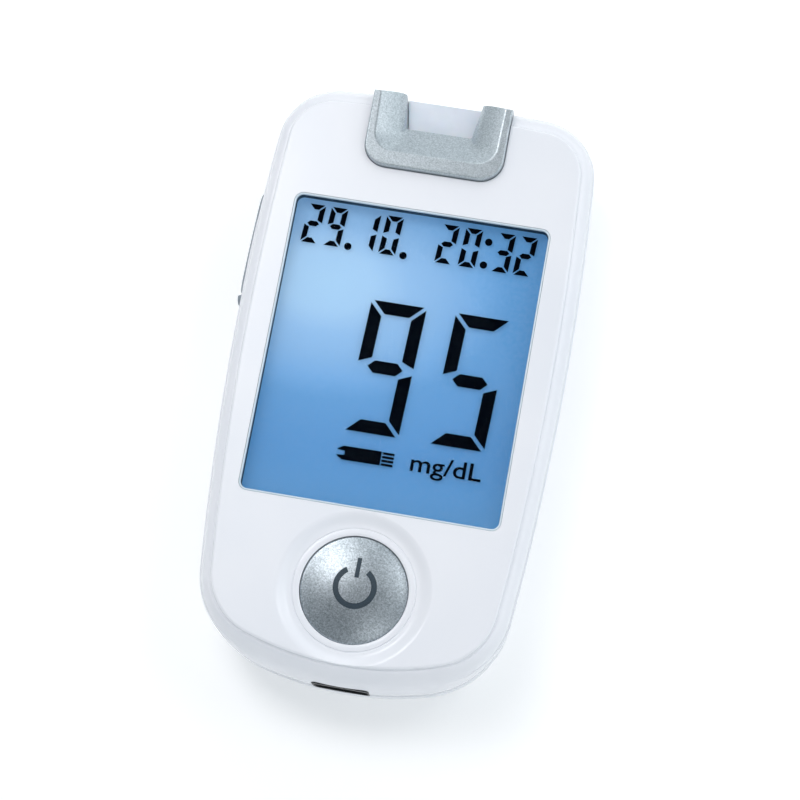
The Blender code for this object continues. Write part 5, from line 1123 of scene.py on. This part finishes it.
def printed(name, paths):
    """A thin printed stroke on the dome: three points across it at each step of its path, given by
    its x and y from the middle of the sign, lie one ink film above the dome and one film below."""
    rings = []
    for x, y in paths:
        spot_x = np.concatenate((x, x[::-1])) + SIGN_PLACE[0]
        spot_y = np.concatenate((y, y[::-1])) + SIGN_PLACE[1]
        lift = np.repeat((INK, -INK), 3)
        rings.append(np.stack((spot_x, spot_y,
                               dome_height(np.hypot(spot_x, spot_y - BUTTON_Y)) + lift), axis=1))
    return shell(name, rings)


radii = SIGN_RING + np.array((-0.5, 0, 0.5)) * SIGN_STROKE
sign_ring = printed("power_sign_ring", [
    (radii * math.cos(angle), radii * math.sin(angle))
    for angle in np.linspace(math.pi / 2 + SIGN_GAP, math.pi * 5 / 2 - SIGN_GAP, 97)])
across = np.array((-1, 0, 1)) * BAR_HALF_WIDTH
sign_bar = printed("power_sign_bar", [(across, np.full(3, y)) for y in np.linspace(*BAR_RUN, 13)])
# A thin film from a silicone pad: dull and even
slate_ink = textured("pad_printed_slate_ink", 4000.0, ((0.3, "#26343F"), (0.7, "#31414D")),
                     Roughness=0.5)
for sign in (sign_ring, sign_bar):
    dress(sign, slate_ink, "silver_painted_plastic", "power_button")

# Test-strip port
# A horseshoe moulded in ABS and sprayed silver. Its two arms rise to a rounded crest round a scoop
# that ramps down to a sharp lip, past which the strip lies on a milky plate. Pegs hold it below.
SCOOP_HALF_WIDTH = 9.9
SCOOP_START_Y = 37.15
SCOOP_CORNER = 3.2
SCOOP_FLARE = 0.03
LIP_Y = 42.3
LIP_TOP = 18.9
CHANNEL_HALF_WIDTH = 5.3
CHANNEL_FLARE = 0.17
CHANNEL_FLOOR = 17.0
WALL_POWER = 2.2
BEZEL_EDGE = 0.3
BEZEL_END_INSET = 2.2
CREST_DROP = 0.1
CREST_REACH = (0.5, 0.3)
LIP_UNDERSIDE = 18.2
SCOOP_END_Y = 60.0
LIP_CORNER = 0.3
LIP_EDGE = 0.06
RAMP_STEPS = 26
CREST_STEPS = 7
CORNER_POWER = 1.5
END_FORM_LOW = 14.0
# Half width, start, end and corner of the connector's cavity and of the strip's slot
CAVITY = (5.7, 36.0, 40.9, 0.3)
STRIP_SLOT = (3.3, 40.0, 44.8, 0.2)
PEG_PLACE = (8.0, 38.5)
PEG_RADIUS = 1.0
PEG_BOTTOM = 14.8
PEG_OVERLAP = 0.5

bezel = shell("strip_port_horseshoe", [
    level(rounded_plan(BEZEL_HALF_WIDTH - inset, BEZEL_START_Y + inset, BEZEL_END_Y,
                       BEZEL_CORNER - inset, 20), height)
    for inset, height in [(0, BEZEL_BOTTOM)] + [
        (inset, BEZEL_TOP - drop) for inset, drop in quarter_round(BEZEL_EDGE, 8)]])
end_insets = (BEZEL_END_INSET, *CREST_INSETS[1:])
rings = [band_level(height, crest=BEZEL_TOP, crest_insets=end_insets)
         for height in np.linspace(END_FORM_LOW, BEZEL_TOP, 30)]
rings.append(rings[-1] + (0, 0, PAST))
end_form = shell("end_form", rings)


def flared_level(half_width, flare, start, plan, height):
    """One level of the channel or the scoop: the sides of its plan spread by the flare for each
    millimetre past the start."""
    spread = 1 + flare * np.clip(plan[:, 1] - start, 0, None) / half_width
    return level(np.stack((plan[:, 0] * spread, plan[:, 1]), axis=1), height)


# The scoop: its ramp is straight, its sides widen with a power of the height above the lip, and its
# plan keeps round corners. A soft crest, narrow over the ramp and wide over the arms, ends it.
channel = rounded_plan(CHANNEL_HALF_WIDTH, LIP_Y, SCOOP_END_Y, LIP_CORNER, 16)
rings = [flared_level(CHANNEL_HALF_WIDTH, CHANNEL_FLARE, LIP_Y, channel, height)
         for height in (BEZEL_BOTTOM - PAST, LIP_TOP - LIP_EDGE)]
tangent = 1 - CREST_DROP / (BEZEL_TOP - LIP_TOP)
course = [(rise, 0) for rise in np.linspace(0, tangent, RAMP_STEPS)]
course += [(tangent, number / CREST_STEPS) for number in range(1, CREST_STEPS + 1)]
for rise, out in course:
    half_width = CHANNEL_HALF_WIDTH + (SCOOP_HALF_WIDTH - CHANNEL_HALF_WIDTH) * rise**WALL_POWER
    half_width += CREST_REACH[0] * out
    start = LIP_Y + (SCOOP_START_Y - LIP_Y) * rise - CREST_REACH[1] * out
    corner = LIP_CORNER + (SCOOP_CORNER - LIP_CORNER) * rise**CORNER_POWER
    flare = CHANNEL_FLARE + (SCOOP_FLARE - CHANNEL_FLARE) * rise
    height = LIP_TOP + rise * (BEZEL_TOP - LIP_TOP)
    if out:
        height = BEZEL_TOP + FACE_CLEAR - CREST_DROP * (1 - out) ** 2
    plan = rounded_plan(half_width, start, SCOOP_END_Y, corner, 16)
    rings.append(flared_level(half_width, flare, start, plan, height))
rings.append(rings[-1] + (0, 0, PAST))
scoop_cut = shell("scoop_cut", rings)
cavity = prism("connector_cavity", rounded_plan(*CAVITY), BEZEL_BOTTOM - PAST, LIP_TOP)
slot_cut = prism("strip_slot", rounded_plan(*STRIP_SLOT), BEZEL_BOTTOM - PAST, LIP_UNDERSIDE)
changes = [("INTERSECT", end_form), ("DIFFERENCE", scoop_cut), ("DIFFERENCE", cavity),
           ("DIFFERENCE", slot_cut)]
for side in (-1, 1):
    peg = circle_plan(PEG_PLACE[0] * side, PEG_PLACE[1], PEG_RADIUS, 32)
    changes.append(("UNION", prism("peg_%d" % (side + 1), peg, PEG_BOTTOM,
                                   BEZEL_BOTTOM + PEG_OVERLAP)))
carve(bezel, *changes)
dress(bezel, silver_fine, "silver_painted_plastic", "case", "strip_port_bezel", crease=32)

# The milky plate under the strip: a flat bar on a riser, a wide base and a narrow entry
GUIDE_GAP = 0.1
GUIDE_END_Y = 47.9
GUIDE_CORNER = 0.3
# How far in and how far down from the channel's floor each step of its edge lies
GUIDE_EDGE = ((0, 0.8), (0, 0.1), (0.03, 0.03), (0.1, 0))
# Half width, start, end and corner, then bottom and top
GUIDE_BLOCKS = (("guide_riser", (4.9, 43.6, 45.5, 0.2), (15.4, 16.45)),
                ("guide_base", (7.0, 41.7, 46.0, 0.3), (14.8, 15.9)),
                ("guide_entry", (3.0, 41.7, 43.3, 0.1), (15.4, 16.8)))
rings = []
for inset, drop in GUIDE_EDGE:
    half_width = CHANNEL_HALF_WIDTH - GUIDE_GAP - inset
    plan = rounded_plan(half_width, LIP_Y + GUIDE_GAP + inset, GUIDE_END_Y - inset, GUIDE_CORNER)
    rings.append(flared_level(half_width, CHANNEL_FLARE, LIP_Y, plan, CHANNEL_FLOOR - drop))
guide_plate = shell("strip_guide_plate", rings)
carve(guide_plate, *[("UNION", prism(name, rounded_plan(*plan), *run))
                     for name, plan, run in GUIDE_BLOCKS])
dress(guide_plate, milky, "milky_plastic", "case", "strip_guide")

# Side rocker
# A bowed key of white ABS in the left side, on a steel pin, with a fine gap all round. Its lugs
# press two switches behind its ends, and two shallow finger marks lie under its grip.
ROCKER_PROUD = 0.45
ROCKER_THICKNESS = 1.45
ROCKER_PIN = (-24.7, ROCKER_Y)
ROCKER_EDGE = 0.45
ROCKER_MIDDLE = ROCKER_TOP - ROCKER_HEIGHT / 2
# Powers that square the key's section, its edge and its ends
SECTION_POWER = 0.55
EDGE_POWER = 0.35
END_POWER = 8
MARK_DEPTH = 0.16
MARK_SHARE = 0.62
MARK_SPREAD = 0.2
HUB_RADIUS = 1.5
HUB_RUN = (9.15, 13.05)
BORE_RADIUS = 0.9
BORE_RUN = (7.0, 15.0)
LUG_RUN = (9.4, 12.9)
LUG_HALF_LENGTH = 1.0
LUG_CORNER = 0.1
# Name, half depth, X, and place along the key of the web at the pin and of the two lugs
LUGS = (("web", 1.0, -25.4, 0.0), ("lug_low", 0.75, -25.65, -6.3), ("lug_high", 0.75, -25.65, 6.3))


def side_edge(y, inset):
    """How far out the side's long arc lies at a place along it."""
    return CASE_WIDTH / 2 - SIDE_ARC + np.sqrt((SIDE_ARC - inset) ** 2 - (y - WIDEST_Y) ** 2)


def between(outer, inner, y, height):
    """A level between two edges given as distances out from the middle at each place along it."""
    edges = (np.stack((-outer, y), axis=1), np.stack((-inner, y), axis=1)[::-1])
    return level(np.concatenate(edges), height)


share = np.sin(np.linspace(-math.pi / 2, math.pi / 2, 48))
rings = []
for angle in np.linspace(-math.pi / 2, math.pi / 2, 25):
    lean = math.sin(angle)
    rise = math.copysign(abs(lean) ** SECTION_POWER, lean) * ROCKER_HEIGHT / 2
    shrink = ROCKER_EDGE * (1 - math.cos(angle) ** EDGE_POWER) if abs(lean) < 1 else ROCKER_EDGE
    y = ROCKER_Y + share * (ROCKER_LENGTH / 2 - shrink)
    bulge = ROCKER_PROUD * np.sqrt(np.clip(1 - np.abs(share) ** END_POWER, 0, 1)) - shrink
    mark = np.exp(-((np.abs(share) - MARK_SHARE) / MARK_SPREAD) ** 2)
    bulge -= MARK_DEPTH * mark * math.cos(angle)
    rings.append(between(side_edge(y, 0) + bulge, side_edge(y, ROCKER_THICKNESS - ROCKER_PROUD), y,
                         ROCKER_MIDDLE + rise))
rocker = shell("side_rocker_key", rings)
web, *lugs = [
    ("UNION", prism(name, rounded_plan(half, -LUG_HALF_LENGTH, LUG_HALF_LENGTH, LUG_CORNER)
                    + (x, ROCKER_Y + along), *LUG_RUN)) for name, half, x, along in LUGS]
hub = rod("rocker_hub", HUB_RADIUS, *HUB_RUN, *ROCKER_PIN, 40)
bore = rod("rocker_bore", BORE_RADIUS, *BORE_RUN, *ROCKER_PIN, 32)
carve(rocker, web, ("UNION", hub), *lugs, ("DIFFERENCE", bore))
dress(rocker, white_gloss, "white_case_plastic", "side_rocker", "side_rocker", crease=35)

# A grey elastomer seal lines the rocker's slot. Its grey is painted shade, for the shadow in the
# gap round the key. Its lip stands proud of the side, further at the end towards the port, where it
# stands for the key's shaded end.
SEAL_LENGTHENING = 0.4
SEAL_WIDTH = 0.32
SEAL_DEPTH = 2.4
# How far out from the slot and how deep in the side each step of its section lies
SEAL_SECTION = ((0.0, SEAL_DEPTH), (0.0, 0.3), (0.08, 0.2), (0.24, 0.2), (SEAL_WIDTH, 0.3),
                (SEAL_WIDTH, SEAL_DEPTH))
SEAL_END_RISE = 0.85
SEAL_END_RUN = 0.3
rings = []
for spread, depth in SEAL_SECTION:
    stretch = SEAL_LENGTHENING * spread / SEAL_WIDTH
    plan = rounded_plan(ROCKER_LENGTH / 2 + GAP + spread + stretch,
                        ROCKER_TOP - ROCKER_HEIGHT - GAP - spread, ROCKER_TOP + GAP + spread,
                        ROCKER_CORNER + spread)
    ring = level(plan + (ROCKER_Y - stretch, 0), 0, "X")
    end_share = np.clip((ROCKER_Y - ROCKER_LENGTH / 2 - ring[:, 1]) / SEAL_END_RUN, 0, 1)
    rise = SEAL_END_RISE * end_share * (depth < SEAL_DEPTH)
    ring[:, 0] = depth - side_edge(ring[:, 1], 0) - rise
    rings.append(ring)
seal = shell("rocker_slot_seal_painted_shade", rings, joined=True)
# A dull cool grey: painted shade for the gap and the shaded edges of the key
shade_grey_elastomer = textured("grey_elastomer_painted_shade", 900.0, ((0.3, "#8B959E"), (0.7, "#A0AAB2")),
                          Roughness=0.55)
dress(seal, shade_grey_elastomer, "carbon_rubber", "case", crease=35)

# The grip: a ribbed strip of the same elastomer moulded on to the rocker's outer face, its grey
# painted shade for the key's shaded outer edge. Its ribs are a cosine along the strip, which dies
# away at its rounded edge.
GRIP_INSET = 0.55
GRIP_SUNK = 0.1
GRIP_BACK = 0.35
GRIP_CROWN = 0.36
RIB_PITCH = 0.7
RIB_HEIGHT = 0.04
RIBBED_SHARE = 0.9
GRIP_SECTION_POWER = 0.5
GRIP_END_POWER = 10
GRIP_EDGE_POWER = 0.3
share = np.sin(np.linspace(-math.pi / 2, math.pi / 2, 241))
rings = []
for angle in np.linspace(-math.pi / 2, math.pi / 2, 15):
    lean = math.sin(angle)
    rise = math.copysign(abs(lean) ** GRIP_SECTION_POWER, lean) * (ROCKER_HEIGHT / 2 - GRIP_INSET)
    y = ROCKER_Y + share * (ROCKER_LENGTH / 2 - GRIP_INSET)
    ends = np.sqrt(np.clip(1 - np.abs(share) ** GRIP_END_POWER, 0, 1))
    crown = ends * math.cos(angle) ** GRIP_EDGE_POWER
    ribs = RIB_HEIGHT * np.cos(y * 2 * math.pi / RIB_PITCH) * (crown > RIBBED_SHARE)
    face = side_edge(y, 0) + ROCKER_PROUD
    rings.append(between(face - GRIP_SUNK + GRIP_CROWN * crown + ribs, face - GRIP_BACK, y,
                         ROCKER_MIDDLE + rise))
grip = shell("rocker_grip_painted_shade", rings)
dress(grip, shade_grey_elastomer, "carbon_rubber", "side_rocker", crease=35)

# Data port liner
# A black moulded sleeve lines the mouth of the data port round the socket, whose shell is plated
# with black nickel. The sleeve's black is partly painted shade, for the dark deep in the mouth.
LINER_ROOF = 1.2
LINER_BACK_Y = -45.6
LINER_EDGE_Y = -48.0
LINER_FRONT_Y = -48.08
# Out along the sleeve and back through it: how far in from the port, the roof's thickness, and Y
LINER_SECTION = ((0.02, 0, LINER_BACK_Y), (0.02, 0, LINER_EDGE_Y), (0.1, 0, LINER_FRONT_Y),
                 (0.3, LINER_ROOF, LINER_FRONT_Y), (0.36, LINER_ROOF, LINER_EDGE_Y),
                 (0.36, LINER_ROOF, LINER_BACK_Y))
rings = [level(rounded_plan(PORT_HALF_WIDTH - inset, PORT_LOW + inset, PORT_HIGH - roof - inset,
                            PORT_CORNER_ROUND - inset), y, "Y") for inset, roof, y in LINER_SECTION]
liner = shell("data_port_liner", rings, joined=True)
dress(liner, black_plastic, "black_plastic", "case")

# A dark mirror, blurred by the grain of the stamped strip
black_nickel = textured("black_nickel_plated_steel", 5000.0, ((0.3, "#3A3D42"), (0.7, "#54585E")),
                        Metallic=1.0, Roughness=0.35)
refinish(black_nickel, "data_port_shell")

# Screws
# Zinc-plated steel screws with a cross recess, driven from the back into posts of the front cover,
# and two shorter ones that hold the board. A pin of the same steel carries the rocker.

# Plated in a barrel: bright, and clouded where the screws rubbed each other
zinc = textured("bright_zinc_plated_steel", 1800.0, ((0.3, "#A7ABB2"), (0.7, "#D0D4DA")),
                detail=3.0, bump=(0.2, 0.02), Metallic=1.0, Roughness=0.3)
HEAD_RADIUS = 1.8
HEAD_LOW = 1.7
HEAD_HIGH = 3.1
# Radius, and height from the head's top, of each step of its rounded edge
HEAD_EDGE = ((0, 0), (1.1, 0), (1.55, 0.12), (1.76, 0.4), (HEAD_RADIUS, 0.75))
SHANK_RADIUS = 0.8
THREAD_START = 3.6
THREAD_PITCH = 0.7
THREAD_COUNT = 12
# Radius, and height from its start, of each step of one turn
THREAD_TURN = ((0.62, 0), (0.62, 0.3), (SHANK_RADIUS, 0.5))
TIP_RADIUS = 0.5
TIP_LENGTH = 0.1
SCREW_TIP = 12.3
RECESS_HALF_LENGTH = 0.95
RECESS_HALF_WIDTH = 0.22
RECESS_TAPER = 0.75
RECESS_DEPTH = 0.9
RECESS_START = 0.5
profile = [(radius, HEAD_LOW + rise) for radius, rise in HEAD_EDGE]
profile += [(HEAD_RADIUS, HEAD_HIGH), (SHANK_RADIUS, HEAD_HIGH)]
for number in range(THREAD_COUNT):
    start = THREAD_START + number * THREAD_PITCH
    profile += [(radius, start + rise) for radius, rise in THREAD_TURN]
profile += [(TIP_RADIUS, SCREW_TIP - TIP_LENGTH), (0, SCREW_TIP)]
for name, (x, y) in zip(("port_left", "port_right", "strip_left", "strip_right"), SCREW_PLACES):
    screw = lathe("case_screw_%s_turned" % name, profile, x, y, 40)
    blades = []
    for across, along in ((RECESS_HALF_LENGTH, RECESS_HALF_WIDTH),
                          (RECESS_HALF_WIDTH, RECESS_HALF_LENGTH)):
        plan = np.array([(across, along), (-across, along), (-across, -along), (across, -along)])
        blades.append(("DIFFERENCE", shell("recess_" + name, [
            level(plan + (x, y), HEAD_LOW - RECESS_START),
            level(plan * RECESS_TAPER + (x, y), HEAD_LOW + RECESS_DEPTH)])))
    carve(screw, *blades)
    dress(screw, zinc, "zinc_plated_steel", "case", "case_screw_" + name)
refinish(zinc, "board_screw_left", "board_screw_right", "rocker_pin")

low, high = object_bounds()
